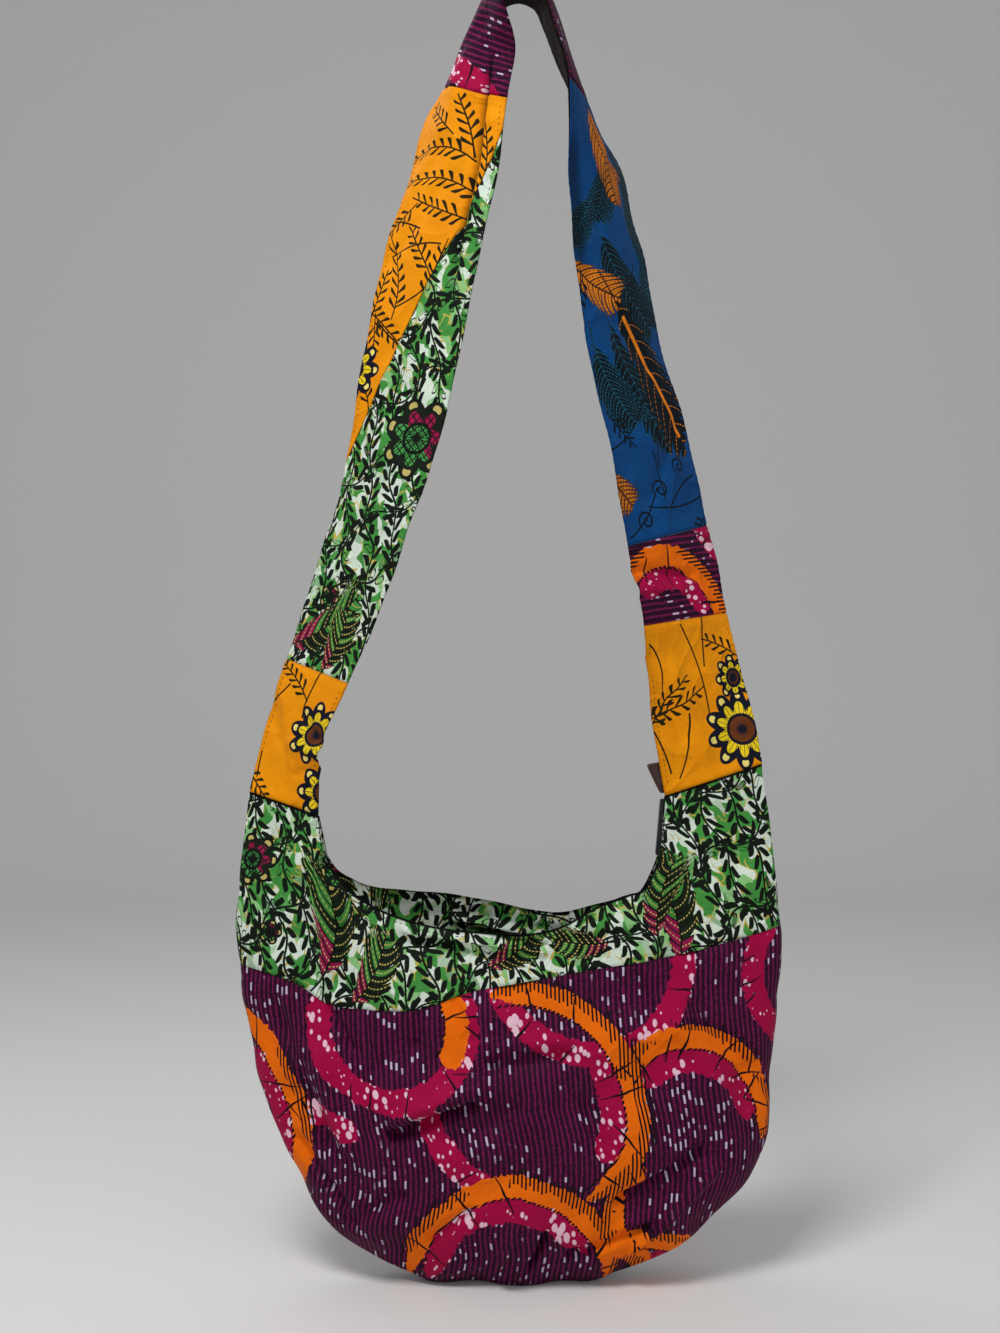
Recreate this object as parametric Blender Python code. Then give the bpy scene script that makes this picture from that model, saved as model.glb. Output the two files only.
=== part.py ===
"""A patchwork cotton hobo bag, hung by its strap: metres, +X right, +Y to the back, +Z up.

The origin is the underside of the strap where it hangs. The sack and the yoke are one lofted shell, cut
along a curved seam, and the yoke's two horns run up into the patched strap.
"""

import math
from collections import namedtuple

import bmesh
import bpy
import numpy as np

# Driving sizes
BAG_WIDTH = 0.400
BAG_HEIGHT = 0.350
BAG_DEPTH = 0.096
STRAP_DROP = 0.606
STRAP_WIDTH = 0.092
BODY_CLOTH = 0.0012
STRAP_CLOTH = 0.0018
LINING_CLOTH = 0.0012
SEAM_GAP = 0.0003
HORN_GAP = 0.0007
LINING_GAP = 0.0009
HELD_SHIFT = 0.009
LINING_HEM = 0.003
TAB_WIDTH = 0.015
TAB_LENGTH = 0.023
TAB_THICKNESS = 0.0018
TAPE_WIDTH = 0.003
TAPE_THICKNESS = 0.0010
TAPE_LENGTH = 0.044
TAPE_GAP = 0.002
TAB_SHOWS = 0.009
CREASE_WIDTH = 0.010

# How finely each surface is divided. The rows of the sack are closer together towards the bottom, and the
# columns are closer together beside the mouth's corners, outside MOUTH_LEFT to MOUTH_RIGHT.
BODY_ROWS = 13
ROW_CROWDING = 1.4
MOUTH_LEFT = 0.25
MOUTH_RIGHT = 0.72
PROBE = 1e-3
YOKE_ROWS = 8
STRAP_COLUMNS = 10
LINING_COLUMNS = 10
LINING_ROWS = 42

# The shell's outline. height is a share of BAG_HEIGHT above the bottom, left and right are shares of
# BAG_WIDTH from the bag's middle, front and back are shares of BAG_DEPTH, and rounding is the share of the
# half width over which the section turns from front to back.
Level = namedtuple("Level", "height left right front back rounding")
OUTLINE = [
    Level(0.00, 0.130, 0.150, 0.130, 0.100, 1.00),
    Level(0.03, 0.205, 0.235, 0.250, 0.210, 1.00),
    Level(0.07, 0.275, 0.318, 0.340, 0.300, 1.00),
    Level(0.13, 0.338, 0.378, 0.420, 0.380, 1.00),
    Level(0.22, 0.384, 0.445, 0.480, 0.450, 1.00),
    Level(0.30, 0.414, 0.474, 0.500, 0.480, 1.00),
    Level(0.37, 0.440, 0.478, 0.500, 0.500, 1.00),
    Level(0.48, 0.469, 0.489, 0.470, 0.490, 1.00),
    Level(0.56, 0.482, 0.494, 0.430, 0.460, 1.00),
    Level(0.66, 0.490, 0.498, 0.360, 0.400, 1.00),
    Level(0.74, 0.498, 0.500, 0.290, 0.320, 0.95),
    Level(0.83, 0.495, 0.494, 0.200, 0.220, 0.80),
    Level(0.92, 0.485, 0.486, 0.060, 0.070, 0.35),
    Level(1.00, 0.478, 0.476, 0.015, 0.015, 0.04),
    Level(1.06, 0.470, 0.468, 0.015, 0.015, 0.04),
]

# The seam between yoke and sack. across is a share of the section from left to right.
Seam = namedtuple("Seam", "across front back")
YOKE_SEAM = [
    Seam(0.00, 0.660, 0.660),
    Seam(0.11, 0.625, 0.640),
    Seam(0.16, 0.592, 0.632),
    Seam(0.24, 0.581, 0.622),
    Seam(0.33, 0.582, 0.616),
    Seam(0.42, 0.616, 0.614),
    Seam(0.52, 0.637, 0.620),
    Seam(0.66, 0.663, 0.640),
    Seam(0.83, 0.694, 0.680),
    Seam(1.00, 0.740, 0.740),
]

# The mouth's edges between the two horns
LEFT_HORN = 0.137
RIGHT_HORN = 0.803
# The horns are drawn to the strap's ends from this share of the height up, and this far past their edges
HORN_FOOT = 0.78
HORN_FADE = 0.05
Neck = namedtuple("Neck", "across front back")
NECKLINE = [
    Neck(0.156, 0.885, 0.885),
    Neck(0.178, 0.857, 0.850),
    Neck(0.207, 0.822, 0.830),
    Neck(0.250, 0.790, 0.813),
    Neck(0.310, 0.763, 0.806),
    Neck(0.374, 0.745, 0.800),
    Neck(0.467, 0.735, 0.780),
    Neck(0.540, 0.733, 0.762),
    Neck(0.597, 0.748, 0.755),
    Neck(0.660, 0.785, 0.771),
    Neck(0.720, 0.810, 0.790),
    Neck(0.756, 0.828, 0.812),
    Neck(0.773, 0.862, 0.850),
    Neck(0.785, 0.890, 0.888),
]

# The strap's middle line from the left horn over the top to the right horn. across is a share of BAG_WIDTH
# from the bag's middle, drop a share of STRAP_DROP below the held point and width a share of STRAP_WIDTH.
# turn is the angle from face on to edge on, and curl the angle by which both halves bend in, in degrees.
Band = namedtuple("Band", "across drop width turn curl")
STRAP = [
    Band(-0.415, 1.018, 0.640, 20, 0),
    Band(-0.399, 0.936, 0.660, 40, 0),
    Band(-0.351, 0.848, 0.740, 38, 0),
    Band(-0.279, 0.715, 0.840, 40, 2),
    Band(-0.216, 0.569, 0.930, 38, 4),
    Band(-0.173, 0.460, 0.950, 32, 5),
    Band(-0.127, 0.339, 0.960, 35, 7),
    Band(-0.092, 0.230, 0.980, 40, 12),
    Band(-0.089, 0.151, 1.020, 45, 20),
    Band(-0.077, 0.088, 1.050, 68, 32),
    Band(-0.047, 0.038, 1.000, 86, 17),
    Band(-0.024, 0.010, 0.980, 89, 11),
    Band(0.022, 0.000, 0.960, 90, 9),
    Band(0.060, 0.012, 0.960, 89, 8),
    Band(0.085, 0.044, 0.960, 88, 8),
    Band(0.112, 0.098, 0.980, 85, 7),
    Band(0.132, 0.139, 1.000, 82, 7),
    Band(0.168, 0.230, 1.000, 69, 7),
    Band(0.189, 0.327, 1.000, 57, 7),
    Band(0.223, 0.448, 1.000, 49, 5),
    Band(0.263, 0.557, 1.000, 46, 4),
    Band(0.301, 0.678, 1.000, 43, 3),
    Band(0.331, 0.787, 0.950, 39, 2),
    Band(0.354, 0.884, 0.930, 28, 0),
    Band(0.381, 0.990, 0.835, 10, 0),
]
# How round the strap's lengthwise bend is, as a share of its half width
BEND_ROUNDING = 0.5

# Where each patch of the strap ends, as shares of the strap's length at its outer and its inner edge, and
# how many rows of faces it has: more where the strap bends over
Patch = namedtuple("Patch", "name outer inner rows colour")
PATCHES = [
    Patch("strap_left_orange", 0.083, 0.083, 6, (0.90, 0.32, 0.01)),
    Patch("strap_left_green", 0.205, 0.402, 14, (0.16, 0.34, 0.10)),
    Patch("strap_left_sprig", 0.438, 0.422, 18, (0.90, 0.32, 0.01)),
    Patch("strap_top_purple", 0.572, 0.566, 30, (0.12, 0.01, 0.09)),
    Patch("strap_right_blue", 0.850, 0.856, 20, (0.01, 0.10, 0.30)),
    Patch("strap_right_purple", 0.902, 0.902, 4, (0.30, 0.01, 0.10)),
    Patch("strap_right_orange", 1.0, 1.0, 7, (0.90, 0.32, 0.01)),
]
# How far the strap's two sewn ends lie along the strap past their middle line, at the outer edge
LEFT_END_SLANT = 0.004
RIGHT_END_SLANT = 0.004
LINING_FROM = 0.405
LINING_TO = 0.690

# Folds of the front and the back: each runs from one point to another, given as shares of the section
# across and of BAG_HEIGHT, and is pushed out or in by a share of BAG_DEPTH over a share of BAG_WIDTH.
Fold = namedtuple("Fold", "side across height to_across to_height push reach")
FRONT, BACK = -1, 1
FOLDS = [
    Fold(FRONT, 0.36, 0.32, 0.49, 0.38, -0.055, 0.022),
    Fold(FRONT, 0.33, 0.38, 0.48, 0.43, 0.025, 0.035),
    Fold(FRONT, 0.58, 0.37, 0.76, 0.42, -0.040, 0.035),
    Fold(FRONT, 0.08, 0.40, 0.15, 0.20, -0.050, 0.030),
    Fold(FRONT, 0.70, 0.12, 0.88, 0.28, -0.050, 0.030),
    Fold(FRONT, 0.17, 0.80, 0.26, 0.62, 0.045, 0.030),
    Fold(FRONT, 0.30, 0.72, 0.56, 0.69, -0.030, 0.018),
    Fold(FRONT, 0.72, 0.72, 0.80, 0.55, 0.030, 0.035),
    Fold(BACK, 0.25, 0.55, 0.40, 0.25, -0.050, 0.040),
    Fold(BACK, 0.60, 0.30, 0.80, 0.50, -0.050, 0.040),
    Fold(BACK, 0.45, 0.70, 0.55, 0.50, 0.035, 0.045),
]

# The lengthwise crease of the strap beside its inner edge: share of the length, place across (-1 outer
# to 1 inner) and depth as a share of STRAP_WIDTH
Crease = namedtuple("Crease", "along across depth")
CREASES = [
    Crease(0.300, 0.30, 0.000),
    Crease(0.360, 0.34, 0.045),
    Crease(0.410, 0.42, 0.060),
    Crease(0.450, 0.46, 0.050),
    Crease(0.480, 0.46, 0.000),
]


def smooth(keys, values, at):
    """Reads a smooth curve through the table's points, for a whole array at once."""
    keys = np.asarray(keys, float)
    values = np.asarray(values, float)
    slopes = np.gradient(values, keys)
    at = np.clip(at, keys[0], keys[-1])
    i = np.clip(np.searchsorted(keys, at, side="right") - 1, 0, len(keys) - 2)
    span = keys[i + 1] - keys[i]
    q = (at - keys[i]) / span
    rise = values[i] * (1 + 2 * q) * (1 - q) ** 2 + values[i + 1] * q * q * (3 - 2 * q)
    return rise + span * (slopes[i] * q * (1 - q) ** 2 - slopes[i + 1] * q * q * (1 - q))


def column(rows, name):
    return [getattr(row, name) for row in rows]


def read(rows, key, name, at):
    return smooth(column(rows, key), column(rows, name), at)


def ramp(q):
    q = np.clip(q, 0, 1)
    return q * q * (3 - 2 * q)


def strap_middle():
    """The table's points of the middle line, and how far along the strap each one lies, from 0 to 1."""
    x = np.array(column(STRAP, "across")) * BAG_WIDTH - HELD_SHIFT
    z = STRAP_CLOTH + LINING_GAP + LINING_CLOTH - np.array(column(STRAP, "drop")) * STRAP_DROP
    steps = np.hypot(np.diff(x), np.diff(z))
    length = np.concatenate([[0], np.cumsum(steps)])
    return x, z, length


MIDDLE_X, MIDDLE_Z, MIDDLE_ALONG = strap_middle()
STRAP_LENGTH = MIDDLE_ALONG[-1]
SHARES = MIDDLE_ALONG / STRAP_LENGTH


def strap_sheet(along, side):
    """The strap's printed face at a share of its length, and at side -1 (outer edge) to 1 (inner edge)."""
    x = smooth(SHARES, MIDDLE_X, along)
    z = smooth(SHARES, MIDDLE_Z, along)
    before = np.clip(along - PROBE, 0, 1)
    after = np.clip(along + PROBE, 0, 1)
    run_x = smooth(SHARES, MIDDLE_X, after) - smooth(SHARES, MIDDLE_X, before)
    run_z = smooth(SHARES, MIDDLE_Z, after) - smooth(SHARES, MIDDLE_Z, before)
    run = np.hypot(run_x, run_z)
    inward_x, inward_z = run_z / run, -run_x / run
    turn = np.radians(smooth(SHARES, column(STRAP, "turn"), along))
    curl = np.radians(smooth(SHARES, column(STRAP, "curl"), along))
    half = smooth(SHARES, column(STRAP, "width"), along) * STRAP_WIDTH / 2
    wide = half * np.cos(curl) * side
    bend = np.sqrt(side**2 + BEND_ROUNDING**2) - BEND_ROUNDING
    bend /= math.hypot(1, BEND_ROUNDING) - BEND_ROUNDING
    deep = half * np.sin(curl) * bend
    crease_at = smooth(column(CREASES, "along"), column(CREASES, "across"), along)
    crease = smooth(column(CREASES, "along"), column(CREASES, "depth"), along) * STRAP_WIDTH
    deep = deep + crease * np.exp(-(((side - crease_at) * half / CREASE_WIDTH) ** 2))
    reach = wide * np.cos(turn) + deep * np.sin(turn)
    y = deep * np.cos(turn) - wide * np.sin(turn)
    return np.stack([x + inward_x * reach, y, z + inward_z * reach], axis=-1)


def strap_point(along, side, sunk):
    """A point sunk under the printed face, towards the space inside the loop."""
    along, side = np.broadcast_arrays(np.asarray(along, float), np.asarray(side, float))
    face = strap_sheet(along, side)
    before = np.clip(along - PROBE, 0, 1)
    after = np.clip(along + PROBE, 0, 1)
    ahead = strap_sheet(after, side) - strap_sheet(before, side)
    over = strap_sheet(along, side + PROBE) - strap_sheet(along, side - PROBE)
    normal = np.cross(ahead, over)
    normal /= np.linalg.norm(normal, axis=-1, keepdims=True)
    return face + normal * np.expand_dims(np.asarray(sunk, float), -1)


def fold_push(side, across, height):
    """How far the folds push the cloth out, in metres."""
    push = np.zeros_like(across + height)
    for fold in FOLDS:
        if fold.side != side:
            continue
        run_x = (fold.to_across - fold.across) * BAG_WIDTH
        run_z = (fold.to_height - fold.height) * BAG_HEIGHT
        gone_x = (across - fold.across) * BAG_WIDTH
        gone_z = (height - fold.height) * BAG_HEIGHT
        share = np.clip((gone_x * run_x + gone_z * run_z) / (run_x**2 + run_z**2), 0, 1)
        away = np.hypot(gone_x - share * run_x, gone_z - share * run_z)
        push = push + fold.push * BAG_DEPTH * np.exp(-((away / (fold.reach * BAG_WIDTH)) ** 2))
    return push


def shell_sheet(across, side, height, inset):
    """The sack's and the yoke's cloth before the horns are drawn to the strap."""
    left = -read(OUTLINE, "height", "left", height) * BAG_WIDTH + inset
    right = read(OUTLINE, "height", "right", height) * BAG_WIDTH - inset
    depth = read(OUTLINE, "height", "front" if side == FRONT else "back", height) * BAG_DEPTH
    rounding = read(OUTLINE, "height", "rounding", height) * (right - left) / 2
    from_edge = np.minimum(across, 1 - across) * (right - left)
    round_share = np.clip(from_edge / rounding, 0, 1)
    fullness = np.sqrt(1 - (1 - round_share) ** 2)
    openness = read(OUTLINE, "height", "rounding", height)
    y = (depth - inset) * fullness + fold_push(side, across, height) * fullness * openness
    x = left + (right - left) * across - HELD_SHIFT
    z = (height - 1) * BAG_HEIGHT - STRAP_DROP
    return np.stack([x, side * y, z], axis=-1)


def horn_top(across):
    """Where the yoke's horns meet the strap's ends: the middle of the strap's cloth, less the gap."""
    on_left = across < 0.5
    side = np.where(on_left, 2 * across / LEFT_HORN - 1, 2 * (1 - across) / (1 - RIGHT_HORN) - 1)
    side = np.clip(side, -1, 1)
    along = np.where(on_left, strap_start(side), strap_finish(side))
    end = strap_point(along, side, STRAP_CLOTH / 2)
    end[..., 2] -= HORN_GAP
    return end


def strap_start(side):
    return LEFT_END_SLANT * (1 - side)


def strap_finish(side):
    return 1 - RIGHT_END_SLANT * (1 - side)


def height_of(z):
    return (z + STRAP_DROP) / BAG_HEIGHT + 1


def shell_point(across, side, height, inset):
    """The shell's cloth, with each horn drawn to the strap's end that it is sewn to."""
    across, height = np.broadcast_arrays(np.asarray(across, float), np.asarray(height, float))
    point = shell_sheet(across, side, height, inset)
    near = np.where(across < 0.5, np.minimum(across, LEFT_HORN), np.maximum(across, RIGHT_HORN))
    past = np.abs(across - near)
    end = horn_top(near)
    end_height = height_of(end[..., 2])
    drawn = ramp((height - HORN_FOOT) / (end_height - HORN_FOOT)) * (1 - ramp(past / HORN_FADE))
    plain = shell_sheet(near, side, end_height, 0.0)
    point[..., 0] += drawn * (end[..., 0] - plain[..., 0])
    point[..., 1] += drawn * end[..., 1]
    return point


def seam_height(across, side):
    return read(YOKE_SEAM, "across", "front" if side == FRONT else "back", across)


def top_height(across, side):
    """The height of the yoke's upper edge: a horn's end or the mouth's edge."""
    horn = height_of(horn_top(across)[..., 2])
    neck = read(NECKLINE, "across", "front" if side == FRONT else "back", across)
    first, last = NECKLINE[0], NECKLINE[-1]
    left_end = height_of(horn_top(np.array(LEFT_HORN))[2])
    right_end = height_of(horn_top(np.array(RIGHT_HORN))[2])
    first_height = first.front if side == FRONT else first.back
    last_height = last.front if side == FRONT else last.back
    left_rise = left_end + (first_height - left_end) * (across - LEFT_HORN) / (first.across - LEFT_HORN)
    right_rise = right_end + (last_height - right_end) * (RIGHT_HORN - across) / (RIGHT_HORN - last.across)
    neck = np.where(across < first.across, left_rise, neck)
    neck = np.where(across > last.across, right_rise, neck)
    return np.where((across <= LEFT_HORN) | (across >= RIGHT_HORN), horn, neck)


def columns():
    """Shares across the section, closer together at the mouth's steep corners."""
    first, last = NECKLINE[0].across, NECKLINE[-1].across
    stretches = [
        np.linspace(0, LEFT_HORN, 5),
        np.linspace(first, MOUTH_LEFT, 5),
        np.linspace(MOUTH_LEFT, MOUTH_RIGHT, 12)[1:],
        np.linspace(MOUTH_RIGHT, last, 6)[1:],
        np.linspace(RIGHT_HORN, 1, 6),
    ]
    return np.concatenate(stretches)


def ring(heights_front, heights_back, inset):
    """One closed row round the shell: the front from left to right, then the back again."""
    across = columns()
    front = shell_point(across, FRONT, heights_front, inset)
    back = shell_point(across, BACK, heights_back, inset)
    return np.concatenate([front, back[-2:0:-1]])


def new_object(name, verts, faces, colour, roughness=0.9):
    """One closed mesh with its own material, shaded smooth, with its faces turned outwards."""
    mesh = bpy.data.meshes.new(name)
    mesh.from_pydata([tuple(v) for v in verts], [], faces)
    grown = bmesh.new()
    grown.from_mesh(mesh)
    bmesh.ops.triangulate(grown, faces=[f for f in grown.faces if len(f.verts) > 3])
    bmesh.ops.recalc_face_normals(grown, faces=grown.faces)
    grown.to_mesh(mesh)
    grown.free()
    mesh.shade_smooth()
    mesh.set_sharp_from_angle(angle=math.radians(50))
    material = bpy.data.materials.new(name)
    material.use_nodes = True
    surface = material.node_tree.nodes["Principled BSDF"]
    surface.inputs["Base Color"].default_value = (*colour, 1)
    surface.inputs["Roughness"].default_value = roughness
    surface.inputs["Metallic"].default_value = 0
    mesh.materials.append(material)
    thing = bpy.data.objects.new(name, mesh)
    bpy.context.scene.collection.objects.link(thing)
    return thing


def bridge(faces, lower, upper):
    """Quads between two closed rows of vertex numbers."""
    count = len(lower)
    for i in range(count):
        j = (i + 1) % count
        faces.append((lower[i], lower[j], upper[j], upper[i]))


def shell_solid(name, rows_out, rows_in, closed_below, colour):
    """A wall between an outer and an inner stack of rings, joined at the open rims."""
    verts = np.concatenate(rows_out + rows_in)
    count = len(rows_out[0])
    numbers = np.arange(len(verts)).reshape(-1, count)
    outer = numbers[: len(rows_out)]
    inner = numbers[len(rows_out) :]
    faces = []
    for stack in (outer, inner):
        for lower, upper in zip(stack[:-1], stack[1:]):
            bridge(faces, lower, upper)
    bridge(faces, outer[-1], inner[-1])
    if closed_below:
        for low_ring in (outer[0], inner[0]):
            last = len(columns()) - 1
            faces.append((low_ring[0], low_ring[1], low_ring[-1]))
            for i in range(1, last - 1):
                faces.append((low_ring[i], low_ring[i + 1], low_ring[-i - 1], low_ring[-i]))
            faces.append((low_ring[last - 1], low_ring[last], low_ring[last + 1]))
    else:
        bridge(faces, outer[0], inner[0])
    return new_object(name, verts, faces, colour)


def make_body():
    """The sack below the seam, closed at the bottom."""
    across = columns()
    top_front = seam_height(across, FRONT)
    top_back = seam_height(across, BACK)
    stacks = []
    for inset in (0.0, BODY_CLOTH):
        rows = []
        for q in np.linspace(0, 1, BODY_ROWS):
            share = q**ROW_CROWDING
            floor = inset / BAG_HEIGHT * (1 - share)
            front = floor + (top_front - floor) * share
            back = floor + (top_back - floor) * share
            rows.append(ring(front, back, inset))
        stacks.append(rows)
    shell_solid("body", stacks[0], stacks[1], True, (0.12, 0.01, 0.08))


def make_yoke():
    """The band above the seam, with its two horns and the mouth between them."""
    across = columns()
    clear = SEAM_GAP / BAG_HEIGHT
    low_front = seam_height(across, FRONT) + clear
    low_back = seam_height(across, BACK) + clear
    top_front = top_height(across, FRONT)
    top_back = top_height(across, BACK)
    stacks = []
    for inset in (0.0, BODY_CLOTH):
        rows = []
        for q in np.linspace(0, 1, YOKE_ROWS):
            front = low_front + (top_front - low_front) * q
            back = low_back + (top_back - low_back) * q
            rows.append(ring(front, back, inset))
        stacks.append(rows)
    shell_solid("yoke", stacks[0], stacks[1], False, (0.16, 0.34, 0.10))


def patch_solid(name, start, finish, sides, place, thickness, colour, rows, roughness=0.9):
    """A strip of cloth between two slanted ends. start and finish give the place along it at each side."""
    verts = []
    for sunk in (0.0, thickness):
        for q in np.linspace(0, 1, rows + 1):
            verts.append(place(start(sides) * (1 - q) + finish(sides) * q, sides, sunk))
    verts = np.concatenate(verts)
    numbers = np.arange(len(verts)).reshape(2, rows + 1, len(sides))
    faces = []
    for face in numbers:
        for r in range(rows):
            for c in range(len(sides) - 1):
                faces.append((face[r, c], face[r, c + 1], face[r + 1, c + 1], face[r + 1, c]))
    rims = []
    for face in numbers:
        rims.append(np.concatenate([face[0, :-1], face[:-1, -1], face[-1, :0:-1], face[:0:-1, 0]]))
    bridge(faces, rims[0], rims[1])
    return new_object(name, verts, faces, colour, roughness)


def make_strap():
    """The patches one after another, each sewn to the next with a small gap."""
    sides = np.linspace(-1, 1, STRAP_COLUMNS + 1)
    gap = SEAM_GAP / STRAP_LENGTH

    def slanted(outer, inner, shift):
        return lambda side: outer + (inner - outer) * (side + 1) / 2 + shift

    start = strap_start
    for patch in PATCHES:
        last = patch is PATCHES[-1]
        finish = strap_finish if last else slanted(patch.outer, patch.inner, 0)
        patch_solid(patch.name, start, finish, sides, strap_point, STRAP_CLOTH, patch.colour, patch.rows)
        start = slanted(patch.outer, patch.inner, gap)


def make_lining():
    """The plain underside of the strap about the place where it hangs."""
    edge = 1 - 2 * LINING_HEM / STRAP_WIDTH
    sides = np.linspace(-edge, edge, LINING_COLUMNS + 1)

    def place(along, side, sunk):
        return strap_point(along, side, STRAP_CLOTH + LINING_GAP + sunk)

    patch_solid(
        "strap_lining",
        lambda side: np.full_like(side, LINING_FROM),
        lambda side: np.full_like(side, LINING_TO),
        sides,
        place,
        LINING_CLOTH,
        (0.03, 0.012, 0.008),
        LINING_ROWS,
    )


def make_zip():
    """The end of the mouth's zip behind the right horn's inner edge, and the tab sewn above it."""
    upper = horn_top(np.array(RIGHT_HORN))
    corner = shell_point(NECKLINE[-1].across, BACK, NECKLINE[-1].back, 0.0)
    corner[1] = shell_point(NECKLINE[-1].across, FRONT, NECKLINE[-1].front, 0.0)[1] / 2 + corner[1] / 2
    fall = (corner - upper) / np.linalg.norm(corner - upper)
    beside = np.cross((0.0, 1.0, 0.0), fall)
    beside /= np.linalg.norm(beside)

    def tape_place(gone, side, sunk):
        point = upper + fall * np.expand_dims(gone, -1) + beside * np.expand_dims(HORN_GAP + side, -1)
        point[..., 1] += sunk - TAPE_THICKNESS / 2
        return point

    patch_solid(
        "zip_tape",
        lambda side: np.full_like(side, TAPE_GAP),
        lambda side: np.full_like(side, TAPE_LENGTH),
        np.linspace(0, TAPE_WIDTH, 3),
        tape_place,
        TAPE_THICKNESS,
        (0.10, 0.10, 0.11),
        6,
    )
    half = STRAP[-1].width * STRAP_WIDTH / 2
    tab_edge = 1 + TAB_SHOWS / half
    tab_sides = np.linspace(tab_edge - TAB_WIDTH / half, tab_edge, 4)
    tab_from = 1 - TAPE_GAP / STRAP_LENGTH
    clear = STRAP_CLOTH + SEAM_GAP

    def tab_place(along, side, sunk):
        return strap_point(along, side, clear + sunk)

    patch_solid(
        "zip_tab",
        lambda side: np.full_like(side, tab_from - TAB_LENGTH / STRAP_LENGTH),
        lambda side: np.full_like(side, tab_from),
        tab_sides,
        tab_place,
        TAB_THICKNESS,
        (0.05, 0.018, 0.014),
        4,
        0.5,
    )


def main():
    for old in list(bpy.data.objects):
        bpy.data.objects.remove(old)
    make_body()
    make_yoke()
    make_strap()
    make_lining()
    make_zip()


main()
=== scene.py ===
import math
from functools import partial, reduce

import bmesh
import bpy
import numpy as np
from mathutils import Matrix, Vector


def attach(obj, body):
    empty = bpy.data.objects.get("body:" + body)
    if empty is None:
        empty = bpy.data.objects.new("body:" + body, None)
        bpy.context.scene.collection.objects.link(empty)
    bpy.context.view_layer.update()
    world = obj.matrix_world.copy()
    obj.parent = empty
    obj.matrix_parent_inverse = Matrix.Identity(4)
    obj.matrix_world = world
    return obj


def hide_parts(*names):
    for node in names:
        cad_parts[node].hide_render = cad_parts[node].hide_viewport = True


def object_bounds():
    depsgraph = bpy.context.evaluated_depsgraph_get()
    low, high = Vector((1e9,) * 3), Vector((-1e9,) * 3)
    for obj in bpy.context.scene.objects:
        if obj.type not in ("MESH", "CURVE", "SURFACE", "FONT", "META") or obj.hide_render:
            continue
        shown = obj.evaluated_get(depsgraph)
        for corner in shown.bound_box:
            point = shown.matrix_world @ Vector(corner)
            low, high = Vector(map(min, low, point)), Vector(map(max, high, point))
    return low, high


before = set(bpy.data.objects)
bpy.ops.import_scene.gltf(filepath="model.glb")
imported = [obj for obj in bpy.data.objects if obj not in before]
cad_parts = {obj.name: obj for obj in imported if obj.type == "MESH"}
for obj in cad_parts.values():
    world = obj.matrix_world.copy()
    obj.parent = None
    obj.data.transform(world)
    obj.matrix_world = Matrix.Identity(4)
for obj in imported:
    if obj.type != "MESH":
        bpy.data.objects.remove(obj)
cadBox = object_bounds()
print("frame loaded:", len(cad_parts), "nodes")

# The sizes and tables that the solids are lofted from, in metres or as shares of the sizes
bag = {
    "width": 0.400, "height": 0.350, "depth": 0.096, "strapDrop": 0.606, "strapWidth": 0.092,
    "bodyCloth": 0.0012, "strapCloth": 0.0018, "liningCloth": 0.0012, "liningGap": 0.0009,
    "hornGap": 0.0001, "seamGap": 0.00005, "heldShift": 0.009, "creaseWidth": 0.010, "probe": 1e-3,
}


def table(names, *rows):
    # named columns from rows of numbers
    return dict(zip(names.split(), np.array(rows, float).T))


outline = table(
    "height left right front back rounding",
    (0, 0.13, 0.15, 0.13, 0.1, 1), (0.03, 0.205, 0.235, 0.25, 0.21, 1),
    (0.07, 0.275, 0.318, 0.34, 0.3, 1), (0.13, 0.338, 0.378, 0.42, 0.38, 1),
    (0.22, 0.384, 0.445, 0.48, 0.45, 1), (0.3, 0.414, 0.474, 0.5, 0.48, 1),
    (0.37, 0.44, 0.478, 0.5, 0.5, 1), (0.48, 0.469, 0.489, 0.47, 0.49, 1),
    (0.56, 0.482, 0.494, 0.43, 0.46, 1), (0.66, 0.49, 0.498, 0.36, 0.4, 1),
    (0.74, 0.498, 0.5, 0.29, 0.32, 0.95), (0.83, 0.495, 0.494, 0.2, 0.22, 0.8),
    (0.92, 0.485, 0.486, 0.06, 0.07, 0.35), (1, 0.478, 0.476, 0.015, 0.015, 0.04),
    (1.06, 0.47, 0.468, 0.015, 0.015, 0.04),
)
yokeSeam = table(
    "across front back",
    (0, 0.66, 0.66), (0.11, 0.625, 0.64), (0.16, 0.592, 0.632), (0.24, 0.581, 0.622),
    (0.33, 0.582, 0.616), (0.42, 0.616, 0.614), (0.52, 0.637, 0.62), (0.66, 0.663, 0.64),
    (0.83, 0.694, 0.68), (1, 0.74, 0.74),
)
mouth = {"leftHorn": 0.137, "rightHorn": 0.803, "hornFoot": 0.78, "hornFade": 0.05}
neckline = table(
    "across front back",
    (0.156, 0.885, 0.885), (0.178, 0.857, 0.85), (0.207, 0.822, 0.83), (0.25, 0.79, 0.813),
    (0.31, 0.763, 0.806), (0.374, 0.745, 0.8), (0.467, 0.735, 0.78), (0.54, 0.733, 0.762),
    (0.597, 0.748, 0.755), (0.66, 0.785, 0.771), (0.72, 0.81, 0.79), (0.756, 0.828, 0.812),
    (0.773, 0.862, 0.85), (0.785, 0.89, 0.888),
)
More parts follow.
